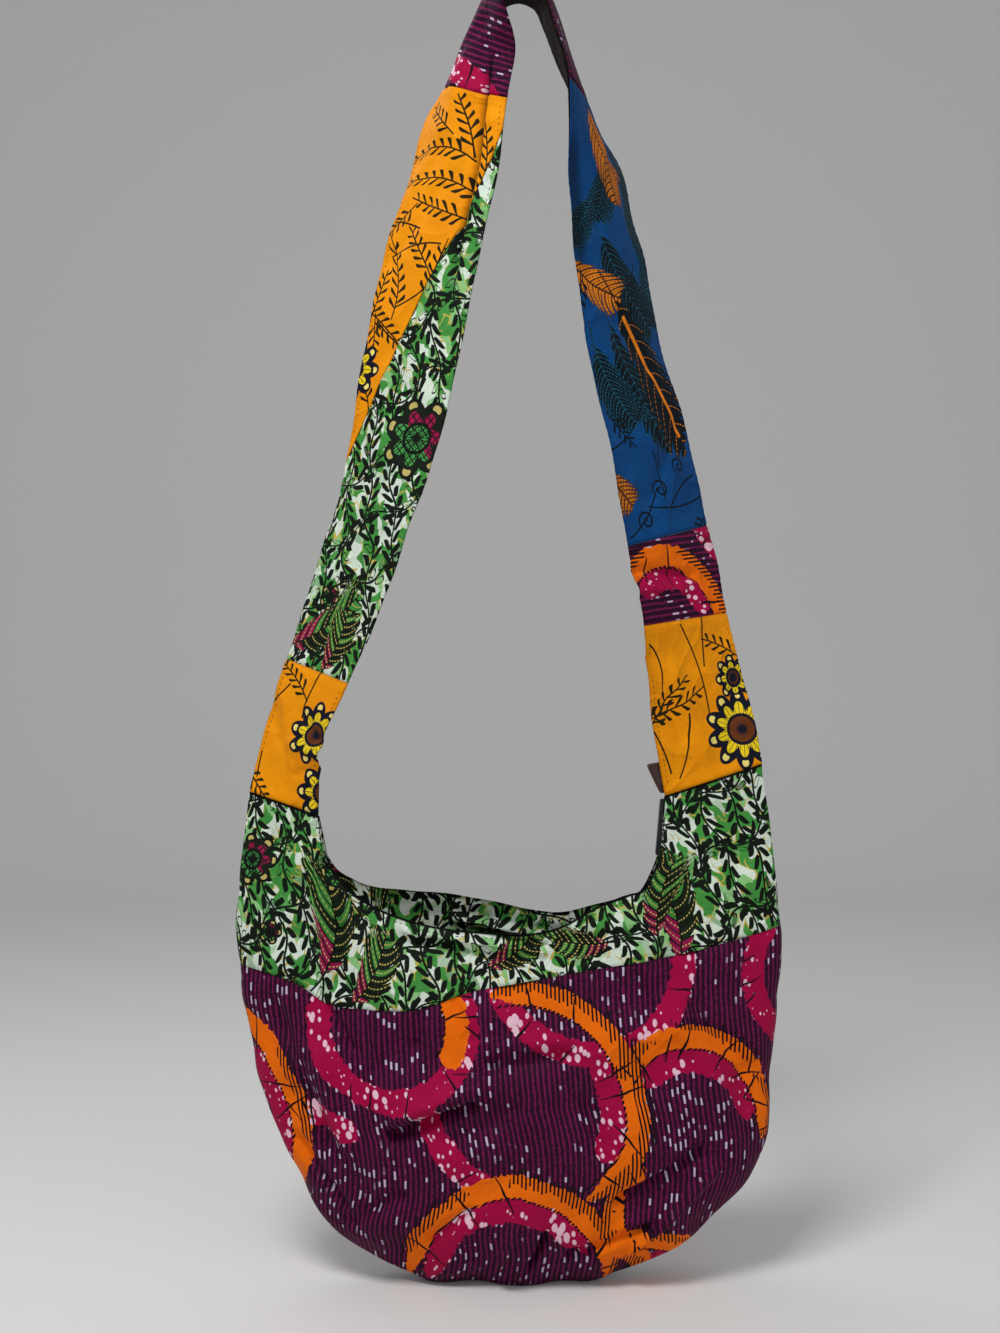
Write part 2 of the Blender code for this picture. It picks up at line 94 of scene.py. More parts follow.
strapLine = table(
    "across drop width turn curl",
    (-0.415, 1.018, 0.64, 20, 0), (-0.399, 0.936, 0.66, 40, 0), (-0.351, 0.848, 0.74, 38, 0),
    (-0.279, 0.715, 0.84, 40, 2), (-0.216, 0.569, 0.93, 38, 4), (-0.173, 0.46, 0.95, 32, 5),
    (-0.127, 0.339, 0.96, 35, 7), (-0.092, 0.23, 0.98, 40, 12), (-0.089, 0.151, 1.02, 49, 20),
    (-0.077, 0.088, 1.05, 67, 32), (-0.047, 0.038, 1, 86, 17), (-0.024, 0.01, 0.98, 89, 11),
    (0.022, 0, 0.96, 90, 9), (0.06, 0.012, 0.96, 89, 8), (0.085, 0.044, 0.96, 88, 8),
    (0.112, 0.098, 0.98, 85, 7), (0.132, 0.139, 1, 82, 7), (0.168, 0.23, 1, 62, 7),
    (0.189, 0.327, 1, 53, 7), (0.223, 0.448, 1, 49, 5), (0.263, 0.557, 1, 46, 4),
    (0.301, 0.678, 1, 43, 3), (0.331, 0.787, 0.95, 39, 2), (0.354, 0.884, 0.93, 28, 0),
    (0.381, 0.99, 0.835, 10, 0),
)
bendRounding = 0.5
endSlant = 0.004
# the folds that the solids have: from one place to another on the front (-1) or the back (1)
folds = table(
    "side across height toAcross toHeight push reach",
    (-1, 0.36, 0.32, 0.49, 0.38, -0.055, 0.022), (-1, 0.33, 0.38, 0.48, 0.43, 0.025, 0.035),
    (-1, 0.58, 0.37, 0.76, 0.42, -0.04, 0.035), (-1, 0.08, 0.4, 0.15, 0.2, -0.05, 0.03),
    (-1, 0.7, 0.12, 0.88, 0.28, -0.05, 0.03), (-1, 0.17, 0.8, 0.26, 0.62, 0.045, 0.03),
    (-1, 0.3, 0.72, 0.56, 0.69, -0.03, 0.018), (-1, 0.72, 0.72, 0.8, 0.55, 0.03, 0.035),
    (1, 0.25, 0.55, 0.4, 0.25, -0.05, 0.04), (1, 0.6, 0.3, 0.8, 0.5, -0.05, 0.04),
    (1, 0.45, 0.7, 0.55, 0.5, 0.035, 0.045),
)
# finer wrinkles that only the cloth here has, pushes and reaches as shares of the same sizes
wrinkles = table(
    "side across height toAcross toHeight push reach",
    (-1, 0.239, 0.326, 0.415, 0.392, -0.08, 0.011), (-1, 0.259, 0.362, 0.432, 0.431, 0.048, 0.014),
    (-1, 0.453, 0.469, 0.595, 0.494, -0.042, 0.014), (-1, 0.456, 0.506, 0.596, 0.526, 0.026, 0.016),
    (-1, 0.099, 0.455, 0.103, 0.304, -0.038, 0.014), (-1, 0.139, 0.486, 0.143, 0.304, 0.032, 0.016),
    (-1, 0.04, 0.304, 0.085, 0.172, -0.042, 0.014), (-1, 0.72, 0.192, 0.854, 0.283, -0.066, 0.013),
    (-1, 0.82, 0.091, 0.89, 0.243, 0.044, 0.014), (-1, 0.645, 0.077, 0.822, 0.132, -0.056, 0.012),
    (-1, 0.54, 0.051, 0.565, 0.121, -0.055, 0.009), (-1, 0.439, 0.061, 0.482, 0.132, 0.038, 0.01),
    (-1, 0.266, 0.111, 0.38, 0.172, -0.036, 0.012), (-1, 0.08, 0.132, 0.228, 0.202, -0.042, 0.013),
    (-1, 0.841, 0.587, 0.943, 0.445, -0.034, 0.015), (-1, 0.806, 0.546, 0.906, 0.384, 0.028, 0.016),
    (-1, 0.638, 0.384, 0.654, 0.263, -0.026, 0.014), (-1, 0.064, 0.587, 0.088, 0.486, -0.032, 0.012),
    (-1, 0.172, 0.577, 0.201, 0.506, -0.036, 0.008), (-1, 0.248, 0.57, 0.25, 0.486, 0.026, 0.008),
    (-1, 0.335, 0.577, 0.32, 0.506, -0.03, 0.008), (-1, 0.399, 0.597, 0.423, 0.526, -0.026, 0.008),
    (-1, 0.732, 0.657, 0.76, 0.546, -0.024, 0.01), (-1, 0.157, 0.874, 0.192, 0.748, -0.045, 0.01),
    (-1, 0.125, 0.87, 0.162, 0.738, 0.034, 0.012), (-1, 0.204, 0.799, 0.179, 0.637, -0.04, 0.01),
    (-1, 0.307, 0.759, 0.564, 0.712, -0.036, 0.0055), (-1, 0.316, 0.738, 0.563, 0.694, 0.032, 0.0055),
    (-1, 0.342, 0.718, 0.518, 0.678, -0.03, 0.0055), (-1, 0.379, 0.779, 0.555, 0.732, 0.022, 0.0055),
    (-1, 0.591, 0.718, 0.733, 0.738, -0.026, 0.008), (-1, 0.766, 0.89, 0.822, 0.748, -0.032, 0.011),
    (-1, 0.737, 0.85, 0.786, 0.718, 0.026, 0.012), (-1, 0.922, 1, 0.923, 0.809, -0.024, 0.012),
    (-1, 0.049, 0.951, 0.076, 0.769, -0.026, 0.012), (1, 0.2, 0.6, 0.3, 0.4, 0.036, 0.014),
    (1, 0.34, 0.3, 0.52, 0.2, -0.048, 0.013), (1, 0.48, 0.42, 0.68, 0.46, 0.034, 0.014),
    (1, 0.46, 0.38, 0.66, 0.42, -0.04, 0.011), (1, 0.7, 0.24, 0.82, 0.36, 0.036, 0.014),
    (1, 0.62, 0.55, 0.7, 0.4, -0.034, 0.012), (1, 0.14, 0.3, 0.24, 0.16, -0.04, 0.012),
    (1, 0.44, 0.06, 0.48, 0.14, -0.04, 0.01), (1, 0.4, 0.74, 0.58, 0.7, -0.032, 0.008),
    (1, 0.42, 0.71, 0.62, 0.68, 0.024, 0.007), (1, 0.16, 0.8, 0.22, 0.66, 0.032, 0.011),
    (1, 0.8, 0.82, 0.78, 0.68, -0.036, 0.011), (1, 0.72, 0.78, 0.66, 0.68, 0.022, 0.012),
)
creases = table(
    "along across depth",
    (0.3, 0.3, 0), (0.36, 0.34, 0.045), (0.41, 0.42, 0.06), (0.45, 0.46, 0.05), (0.48, 0.46, 0),
)


def curve(rows, key, name, at):
    # a smooth line through a table's points
    keys, values = rows[key], rows[name]
    slopes = np.gradient(values, keys)
    at = np.clip(at, keys[0], keys[-1])
    i = np.clip(np.searchsorted(keys, at, side="right") - 1, 0, len(keys) - 2)
    span = keys[i + 1] - keys[i]
    q = (at - keys[i]) / span
    rise = values[i] * (1 + 2 * q) * (1 - q) ** 2 + values[i + 1] * q * q * (3 - 2 * q)
    return rise + span * (slopes[i] * q * (1 - q) ** 2 - slopes[i + 1] * q * q * (1 - q))


def ramp(q):
    q = np.clip(q, 0, 1)
    return q * q * (3 - 2 * q)


def gone(points, axis=0):
    # the distance gone along rows of points
    steps = np.linalg.norm(np.diff(points, axis=axis), axis=-1)
    return np.insert(np.cumsum(steps, axis=axis), 0, 0, axis=axis)


# The strap's middle line, and how far along it each row of the table lies
strapLine["x"] = strapLine["across"] * bag["width"] - bag["heldShift"]
strapTop = bag["strapCloth"] + bag["liningGap"] + bag["liningCloth"]
strapLine["z"] = strapTop - strapLine["drop"] * bag["strapDrop"]
strapGone = gone(np.stack([strapLine["x"], strapLine["z"]], -1))
strapLength = strapGone[-1]
strapLine["share"] = strapGone / strapLength
# late corrections against the photograph: where the strap lies further out than in the solids
for middle, width, left, shift in (
    (0.25, 0.12, True, -0.0085), (0.13, 0.04, True, -0.002), (0.4, 0.09, True, -0.006),
    (0.26, 0.13, False, 0.0037),
):
    onSide = (strapLine["across"] < 0) == left
    strapLine["x"] += shift * np.exp(-(((strapLine["drop"] - middle) / width) ** 2)) * onSide


def onStrap(name, along):
    return curve(strapLine, "share", name, along)


def strapHalf(along):
    return onStrap("width", along) * bag["strapWidth"] / 2


def strapSheet(along, side):
    # the printed face, from the outer edge (-1) to the inner edge (1)
    before, after = np.clip(along - bag["probe"], 0, 1), np.clip(along + bag["probe"], 0, 1)
    runX, runZ = (onStrap(axis, after) - onStrap(axis, before) for axis in "xz")
    run = np.hypot(runX, runZ)
    turn, curl = (np.radians(onStrap(name, along)) for name in ("turn", "curl"))
    half = strapHalf(along)
    bend = (np.hypot(side, bendRounding) - bendRounding) / (math.hypot(1, bendRounding) - bendRounding)
    fromCrease = (side - curve(creases, "along", "across", along)) * half / bag["creaseWidth"]
    crease = curve(creases, "along", "depth", along) * bag["strapWidth"] * np.exp(-(fromCrease**2))
    deep, wide = half * np.sin(curl) * bend + crease, half * np.cos(curl) * side
    reach = wide * np.cos(turn) + deep * np.sin(turn)
    x, z = onStrap("x", along) + runZ / run * reach, onStrap("z", along) - runX / run * reach
    return np.stack([x, deep * np.cos(turn) - wide * np.sin(turn), z], axis=-1)


def strapPoint(along, side, sunk):
    # a point sunk under the printed face
    along, side = np.broadcast_arrays(np.asarray(along, float), np.asarray(side, float))
    step = bag["probe"]
    ahead = strapSheet(np.clip(along + step, 0, 1), side) - strapSheet(np.clip(along - step, 0, 1), side)
    normal = np.cross(ahead, strapSheet(along, side + step) - strapSheet(along, side - step))
    normal /= np.linalg.norm(normal, axis=-1, keepdims=True)
    return strapSheet(along, side) + normal * np.expand_dims(np.asarray(sunk, float), -1)


def nearLine(goneX, goneZ, runX, runZ, reach):
    # 1 on a line, and less with the distance from it
    share = np.clip((goneX * runX + goneZ * runZ) / (runX**2 + runZ**2), 0, 1)
    return np.exp(-((goneX - share * runX) ** 2 + (goneZ - share * runZ) ** 2) / reach**2)


def foldPush(rows, side, across, height):
    push, wide, high = np.zeros_like(across + height), bag["width"], bag["height"]
    for way, x, z, toX, toZ, deep, reach in zip(*rows.values()):
        if way == side:
            at, run = ((across - x) * wide, (height - z) * high), ((toX - x) * wide, (toZ - z) * high)
            push = push + deep * bag["depth"] * nearLine(*at, *run, reach * wide)
    return push


faceNames = {-1: "front", 1: "back"}


def shellSheet(across, side, height, inset):
    left, right, depth, openness = (
        curve(outline, "height", name, height) for name in ("left", "right", faceNames[side], "rounding")
    )
    left, right = inset - left * bag["width"], right * bag["width"] - inset
    fromEdge = np.minimum(across, 1 - across) * 2 / openness
    fullness = np.sqrt(1 - (1 - np.clip(fromEdge, 0, 1)) ** 2)
    y = side * (depth * bag["depth"] - inset + foldPush(folds, side, across, height) * openness)
    x = left + (right - left) * across - bag["heldShift"]
    return np.stack([x, y * fullness, (height - 1) * bag["height"] - bag["strapDrop"]], axis=-1)


def hornTop(across):
    left = across < 0.5
    leftSide = 2 * across / mouth["leftHorn"] - 1
    rightSide = 2 * (1 - across) / (1 - mouth["rightHorn"]) - 1
    side = np.clip(np.where(left, leftSide, rightSide), -1, 1)
    slant = endSlant * (1 - side)
    end = strapPoint(np.where(left, slant, 1 - slant), side, bag["strapCloth"] / 2)
    end[..., 2] -= bag["hornGap"]
    return end


def heightOf(z):
    return (z + bag["strapDrop"]) / bag["height"] + 1


def shellPoint(across, side, height, inset):
    across, height = np.broadcast_arrays(np.asarray(across, float), np.asarray(height, float))
    point = shellSheet(across, side, height, inset)
    leftNear = np.minimum(across, mouth["leftHorn"])
    near = np.where(across < 0.5, leftNear, np.maximum(across, mouth["rightHorn"]))
    end = hornTop(near)
    endHeight = heightOf(end[..., 2])
    drawn = ramp((height - mouth["hornFoot"]) / (endHeight - mouth["hornFoot"]))
    drawn = drawn * (1 - ramp(np.abs(across - near) / mouth["hornFade"]))
    plain = shellSheet(near, side, endHeight, 0.0)
    point[..., 0] += drawn * (end[..., 0] - plain[..., 0])
    point[..., 1] += drawn * end[..., 1]
    return point


def seamHeight(across, side):
    return curve(yokeSeam, "across", faceNames[side], across)


def topHeight(across, side):
    face = faceNames[side]
    neck = curve(neckline, "across", face, across)
    for horn, end, way in (("leftHorn", 0, 1), ("rightHorn", -1, -1)):
        at, foot, low = mouth[horn], neckline["across"][end], neckline[face][end]
        high = heightOf(hornTop(np.array(at))[2])
        neck = np.where((foot - across) * way > 0, high + (low - high) * (across - at) / (foot - at), neck)
    onHorn = (across <= mouth["leftHorn"]) | (across >= mouth["rightHorn"])
    return np.where(onHorn, heightOf(hornTop(across)[..., 2]), neck)


# Cloth meshes. Each is a closed shell with the flat cloth's own metres as its UV map, called cloth, and
# an attribute called edgeNear that is 1 at seams and hems, whose darkening is partly painted shade, and that
# also holds painted shade on the yoke's front mouth edge and on the strap's valley and inner edge.


def clothPiece(name, node, verts, faces, uvs, edgeNear, slots, materials, replaces=True):
    mesh = bpy.data.meshes.new(name)
    mesh.from_pydata(verts.tolist(), [], faces)
    mesh.uv_layers.new(name="cloth").data.foreach_set("uv", np.asarray(uvs, np.float32).ravel())
    mesh.attributes.new("edgeNear", "FLOAT", "POINT").data.foreach_set("value", edgeNear.astype(np.float32))
    mesh.polygons.foreach_set("material_index", np.asarray(slots, np.int32))
    for material in materials:
        mesh.materials.append(material)
    grown = bmesh.new()
    grown.from_mesh(mesh)
    bmesh.ops.remove_doubles(grown, verts=grown.verts, dist=1e-6)
    bmesh.ops.recalc_face_normals(grown, faces=grown.faces)
    grown.to_mesh(mesh)
    grown.free()
    mesh.shade_smooth()
    mesh.set_sharp_from_angle(angle=math.radians(60))
    piece = placed(name, mesh)
    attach(piece, "root")
    if replaces:
        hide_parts(node)
    return piece


def placed(name, data):
    thing = bpy.data.objects.new(name, data)
    bpy.context.scene.collection.objects.link(thing)
    return thing


def threadPiece(name, node, verts, faces, uvs, material):
    # a thread or coil, which lies on the piece that replaces its node
    edge, slots = np.zeros(len(verts)), np.zeros(len(faces), int)
    return clothPiece(name, node, verts, faces, uvs, edge, slots, [material], replaces=False)


def corners(grid):
    return [grid[:-1, :-1], grid[:-1, 1:], grid[1:, 1:], grid[1:, :-1]]


def gridFaces(numbers):
    return np.stack(corners(numbers), -1).reshape(-1, 4)


def gridUvs(uv):
    return np.stack(corners(uv), 2).reshape(-1, 2)


def gridPiece(name, node, layers, grids, edge, materials):
    # a mesh from grids of point numbers, each with its flat metres and its material's number
    quads = np.concatenate([gridFaces(numbers) for numbers, _, _ in grids]).tolist()
    places = np.concatenate([gridUvs(uv) for _, uv, _ in grids]).reshape(-1, 4, 2)
    kept = [[k for k in range(4) if face[k] not in face[:k]] for face in quads]
    faces = [[face[k] for k in corner] for face, corner in zip(quads, kept)]
    uvs = np.concatenate([uv[corner] for uv, corner in zip(places, kept)])
    slots = np.concatenate([np.full(numbers[1:, 1:].size, slot) for numbers, _, slot in grids])
    verts = np.concatenate([layer.reshape(-1, 3) for layer in layers])
    return clothPiece(name, node, verts, faces, uvs, edge, slots, materials)


def surfaceNormals(points, closed):
    if closed:
        over = np.roll(points, -1, axis=1) - np.roll(points, 1, axis=1)
    else:
        over = np.gradient(points, axis=1)
    up = np.gradient(points, axis=0)
    normal = np.cross(over, up)
    return normal / np.maximum(np.linalg.norm(normal, axis=-1, keepdims=True), 1e-12)


def shellAcross():
    # the places across the bag, closer together where the mouth bends
    first, last = neckline["across"][0], neckline["across"][-1]
    ends = (0, mouth["leftHorn"], first, 0.25, 0.72, last, mouth["rightHorn"], 1)
    counts = (38, 6, 26, 84, 24, 6, 40)
    parts = [np.linspace(low, high, count)[1:] for low, high, count in zip(ends, ends[1:], counts)]
    return np.concatenate([[0.0], *parts])


def shellCloth(across, side, heights, topAtEnd):
    # one face of the shell as rows of points, with its metres of flat cloth
    outer, inner = (shellPoint(across, side, heights, inset) for inset in (0.0, bag["bodyCloth"]))
    u, v = gone(outer[..., :2], 1), gone(outer[..., 1:])
    u -= u[:, len(across) // 2, None]
    fixed = -1 if topAtEnd else 0
    v += outer[fixed, :, 2] - v[fixed]
    return outer, inner, np.stack([u, v], -1)


def softRipple(u, v, size, seed):
    # slow uneven swelling of hanging cloth, from a few slanted waves
    dice = np.random.default_rng(seed)
    total = np.zeros_like(u)
    for _ in range(7):
        angle = dice.uniform(0, math.pi)
        length = size * dice.uniform(0.7, 1.9)
        phase = dice.uniform(0, 2 * math.pi)
        total = total + np.sin((u * math.cos(angle) + v * math.sin(angle)) * 2 * math.pi / length + phase)
    return total / 7


def waves(at, *rows):
    # a sum of sines, each with its height, its length and its start
    return sum(high * np.sin(at * 2 * math.pi / length + start) for high, length, start in rows)


def pucker(distance, u, size, seed):
    # small gathers that die away from a seam
    dice = np.random.default_rng(seed)
    rows = [(1 / 3, length, dice.uniform(0, 2 * math.pi)) for length in (0.007, 0.011, 0.017)]
    return size * waves(u, *rows) * np.exp(-np.abs(distance) / 0.012)


made = {}  # the faces of the shells, for the stitches that lie on them
shellCut = {
    "sideQuiet": 0.05,  # how far from the sides, as a share, the wrinkles fade
    "topQuiet": 0.12, "sideReach": 0.022,
    "left": ((1, 0.110, 0.8), (0.5, 0.052, 2.0), (0.2, 0.029, 0.0)),  # the waves of the two sides
    "right": ((1, 0.131, 2.9), (0.5, 0.057, 0.3), (0.2, 0.031, 0.0)),
    "seamWidth": 0.0011, "mouthShadeWidth": 0.0013, "seamWearAndShadeReach": 0.004, "bottomFlat": 0.006,
}


def shellPiece(name, node, rows, closedBelow, material, ripple):
    across = shellAcross()
    lift = len(across) - 1
    fromSide = np.minimum(across, 1 - across)[None]
    halves = []
    for side in (-1, 1):
        heights, fromSeam, fromTop = rows(across, side)
        outer, inner, uv = shellCloth(across, side, heights, closedBelow)
        if side > 0:
            uv = uv * (1, -1) + (0, ripple["backTurn"])  # the back is cut from the same print, turned round
        belowTop = ramp((1.0 - heights) / shellCut["topQuiet"])
        quiet = ramp(fromSide / shellCut["sideQuiet"]) * belowTop
        push = ripple["fold"] * foldPush(wrinkles, side, across[None], heights)
        push = push + ripple["swell"] * softRipple(uv[..., 0], uv[..., 1], ripple["size"], 3)
        push = (push + pucker(fromSeam, uv[..., 0], ripple["pucker"], 5)) * quiet
        onLeft, onRight = (waves(heights * bag["height"], *shellCut[way]) for way in ("left", "right"))
        nearSide = np.exp(-fromSide * bag["width"] / shellCut["sideReach"]) * belowTop
        push = push + ripple["wave"] * np.where(across < 0.5, onLeft, onRight) * nearSide
        groove = np.minimum(fromSeam, fromTop)
        push = push - ripple["seamSink"] * np.exp(-((groove / shellCut["seamWidth"]) ** 2)) * ramp(quiet * 4)
        # a dark line painted along the front's mouth edge: painted shadow of the gap between the front and
        # the back
        hem = ripple["mouthShadeStrength"] * (side < 0) * np.exp(-((fromTop / shellCut["mouthShadeWidth"]) ** 2))
        # the seams' and top's darkening is partly dye and partly painted shade
        halves.append((outer, inner, push, np.exp(-groove / shellCut["seamWearAndShadeReach"]) + hem, uv, fromTop))
    *pairs, maps, tops = zip(*halves)
    outer, inner, push, edge = (np.concatenate([front, back[:, -2:0:-1]], axis=1) for front, back in pairs)
    push = push[..., None] * surfaceNormals(outer, True)
    outer, inner = outer + push, inner + push
    faces = [outer[:, : lift + 1], np.roll(outer, -lift, axis=1)[:, : lift + 1][:, ::-1]]
    made[node] = {"across": across, "faces": faces, "fromTop": tops}
    numbers = np.arange(edge.size).reshape(edge.shape)
    wrapped = np.concatenate([numbers, numbers[:, :1]], axis=1)
    parts = [(wrapped[:, : lift + 1], maps[0]), (wrapped[:, lift:], maps[1][:, ::-1])]
    grids = [(part + layer * edge.size, uv, layer) for layer in (0, 1) for part, uv in parts]
    for row in (-1,) if closedBelow else (-1, 0):
        for part, uv in parts:
            rim = np.stack([part[row], part[row] + edge.size])
            grids.append((rim, np.stack([uv[row], uv[row] + (0, bag["bodyCloth"])]), 0))
    if closedBelow:
        under = np.stack([parts[0][0][0], parts[1][0][0, ::-1]])
        flat = np.stack([maps[0][0], maps[0][0] - (0, shellCut["bottomFlat"])])
        grids += [(under + layer * edge.size, flat, layer) for layer in (0, 1)]
    return gridPiece(name, node, (outer, inner), grids, np.tile(edge.ravel(), 2), [material, material])


def bodyRows(across, side):
    top = seamHeight(across, side)[None]
    heights = top * np.linspace(0, 1, 100)[:, None] ** 1.15
    return heights, (top - heights) * bag["height"], np.full_like(heights, 1.0)


def yokeRows(across, side):
    low = seamHeight(across, side) + bag["seamGap"] / bag["height"]
    top = topHeight(across, side)
    heights = low + (top - low)[None] * np.linspace(0, 1, 64)[:, None]
    return heights, (heights - low) * bag["height"], (top - heights) * bag["height"]


# Patches of the strap: where each ends at its outer and inner edge, as shares of the strap's length
patches = [
    {"node": "strap_left_orange", "outer": 0.083, "inner": 0.083, "rows": 60},
    {"node": "strap_left_green", "outer": 0.205, "inner": 0.402, "rows": 150},
    {"node": "strap_left_sprig", "outer": 0.438, "inner": 0.422, "rows": 150},
    {"node": "strap_top_purple", "outer": 0.602, "inner": 0.594, "rows": 130},
    {"node": "strap_right_blue", "outer": 0.850, "inner": 0.856, "rows": 180},
    {"node": "strap_right_purple", "outer": 0.902, "inner": 0.902, "rows": 50},
    {"node": "strap_right_orange", "outer": 1.0, "inner": 1.0, "rows": 70},
]
strapCloth = {
    "columns": 56, "gap": 0.00005,
    "hemAt": 0.0036,  # how far in from each edge the hem's stitches lie
    "hemGroove": 0.00028, "hemWidth": 0.0009, "edgeWave": 0.0009, "valley": 0.0062, "valleyWidth": 0.0034,
    "gather": 0.00018, "swell": 0.0006, "seamRidge": 0.00035, "seamRoll": 0.0006, "edgeRoll": 0.0005,
    "outerWaves": ((1, 0.118, 1.1), (0.6, 0.061, 2.7)),
    "innerWaves": ((1, 0.133, 0.4), (0.6, 0.057, 5.0)),
}


# soft folds across the strap, in metres along it and from its middle towards its inner edge
strapFolds = table(
    "along over toAlong toOver push reach",
    (0.052, 0.04, 0.072, 0.004, 0.0026, 0.0045), (0.036, 0.044, 0.028, 0.01, 0.0024, 0.004),
    (0.044, 0.044, 0.05, 0, -0.0022, 0.0045), (0.08, -0.04, 0.05, -0.012, 0.0018, 0.0055),
    (0.15, -0.02, 0.22, 0.024, 0.0017, 0.006), (0.168, -0.03, 0.236, 0.01, -0.0016, 0.007),
    (0.29, 0.034, 0.345, -0.016, 0.0016, 0.007), (0.33, -0.034, 0.392, 0.004, 0.0018, 0.006),
    (0.42, -0.036, 0.475, -0.002, 0.002, 0.006), (0.47, -0.038, 0.52, -0.01, -0.0018, 0.0065),
    (0.54, -0.03, 0.6, 0.02, 0.0018, 0.006), (0.79, -0.03, 0.86, 0.02, 0.002, 0.007),
    (0.9, 0.034, 0.965, -0.016, 0.002, 0.0065), (0.93, 0.04, 0.985, 0.004, -0.0018, 0.007),
    (1.01, -0.036, 1.062, 0.016, 0.002, 0.007), (1.112, 0.042, 1.122, -0.012, 0.003, 0.004),
    (1.126, 0.046, 1.132, 0, -0.0024, 0.0045), (1.178, 0.04, 1.236, 0.018, 0.003, 0.0055),
    (1.19, 0.022, 1.252, 0.002, -0.0024, 0.007), (1.206, -0.034, 1.262, -0.014, 0.0022, 0.0065),
)


def valleyAt(metres):
    # where the left run's long valley lies, from the strap's middle
    return 0.027 - 0.004 * np.sin((metres - 0.40) * 22.0)


def between(metres, low, high, lowFade, highFade):
    return ramp((metres - low) / lowFade) * (1 - ramp((metres - high) / highFade))


def strapRipple(along, side):
    # waves of the strap's edges, gathers at its hems and soft folds, in metres into the cloth
    metres, over = along * strapLength, side * strapHalf(along)
    inFromEdge = (1 - np.abs(side)) * strapHalf(along)
    outerWaves, innerWaves = (waves(metres, *strapCloth[name]) for name in ("outerWaves", "innerWaves"))
    edgeWave = np.where(side < 0, outerWaves, innerWaves) * np.abs(side) ** 3
    ends = ramp(along / 0.03) * ramp((1 - along) / 0.03)
    groove = np.exp(-(((inFromEdge - strapCloth["hemAt"]) / strapCloth["hemWidth"]) ** 2))
    gathers = waves(metres, (1, 0.0073, 0)) * np.sin(metres * 2 * math.pi / 0.049 + side)
    valley = np.exp(-(((over - valleyAt(metres)) / strapCloth["valleyWidth"]) ** 2))
    total = strapCloth["edgeWave"] * edgeWave * ends + strapCloth["hemGroove"] * groove
    total = total + strapCloth["valley"] * between(metres, 0.375, 0.535, 0.05, 0.05) * valley
    total = total + strapCloth["gather"] * gathers * np.exp(-inFromEdge / 0.006)
    total = total + strapCloth["swell"] * softRipple(metres, side * 0.045, 0.055, 11) * ends
    for v, u, toV, toU, push, reach in zip(*strapFolds.values()):
        total = total + push * nearLine(metres - v, over - u, toV - v, toU - u, reach) * ends
    return total


def strapShade(along, side):
    # painted shade that darkens the strap's printed face: a painted shadow in the left run's long valley, and
    # a painted dark band along the right run's inner edge, where no rolled edge is built
    metres, over = along * strapLength, side * strapHalf(along)
    valley = between(metres, 0.400, 0.560, 0.06, 0.03) * np.exp(-(((over - valleyAt(metres)) / 0.0036) ** 2))
    paintedEdgeBand = between(metres, 0.765, 0.870, 0.05, 0.06) * ramp((over - 0.026) / 0.014)
    return 1.65 * valley + 1.30 * paintedEdgeBand


def seamSink(distance):
    # the cloth turns down into a seam and lies a little proud over the seam's allowance
    metres = np.abs(distance) * strapLength
    ridge = strapCloth["seamRidge"] * ramp(metres / 0.002) * (1 - ramp((metres - 0.007) / 0.002))
    return strapCloth["seamRoll"] * np.exp(-((metres / 0.0012) ** 2)) - ridge


def patchEnd(index, side):
    # where a patch ends, as a share of the strap's length; the horns' ends are slanted
    if index in (-1, len(patches) - 1):
        return endSlant * (1 - side) if index < 0 else 1 - endSlant * (1 - side)
    patch = patches[index]
    return patch["outer"] + (patch["inner"] - patch["outer"]) * (side + 1) / 2


def strapPatch(index, materials):
    patch = patches[index]
    side = np.linspace(-1, 1, strapCloth["columns"] + 1)
    start = patchEnd(index - 1, side) + (strapCloth["gap"] / strapLength if index else 0)
    finish = patchEnd(index, side)
    share = np.linspace(0, 1, patch["rows"] + 1)[:, None]
    along = start * (1 - share) + finish * share
    side = side[None] + 0 * along
    fromSide = (1 - np.abs(side)) * strapHalf(along)
    ripple = strapRipple(along, side)
    roll = strapCloth["edgeRoll"] * np.exp(-fromSide / 0.0007)
    outer = strapPoint(along, side, ripple + seamSink(along - start) + seamSink(finish - along) + roll)
    inner = strapPoint(along, side, ripple + bag["strapCloth"] - roll)
    uv = np.stack([side * strapHalf(along), along * strapLength], -1)
    edge = np.exp(-np.minimum(fromSide, np.minimum(along - start, finish - along) * strapLength) / 0.003)
    # painted shade: the fold shadows join the seams' darkening, on the printed face only
    shade = np.maximum(edge, strapShade(along, side))
    return bandPiece(patch["node"], outer, inner, uv, edge, materials, shade)


def bandPiece(node, outer, inner, uv, edge, materials, faceEdgeAndShade=None):
    # a strip of cloth with a face, a back and four narrow edges
    numbers = np.arange(edge.size).reshape(edge.shape)
    under = numbers + edge.size
    grids = [(numbers, uv, 0), (under, uv, 1)]
    for cut in (np.s_[0, :], np.s_[-1, :], np.s_[:, 0], np.s_[:, -1]):
        grids.append((np.stack([numbers[cut], under[cut]]), np.stack([uv[cut], uv[cut] + (0.0008, 0)]), 0))
    edges = np.concatenate([(edge if faceEdgeAndShade is None else faceEdgeAndShade).ravel(), edge.ravel()])
    first, *others = node.split("_")
    name = first + "".join(word.capitalize() for word in others)
    return gridPiece(name, node, (outer, inner), grids, edges, materials)


def unit(vectors):
    return vectors / np.linalg.norm(vectors, axis=-1, keepdims=True)


def ringAround(overs, ups, sides):
    angle = np.linspace(0, 2 * math.pi, sides, endpoint=False)[:, None]
    return overs[:, None] * np.cos(angle) + ups[:, None] * np.sin(angle)


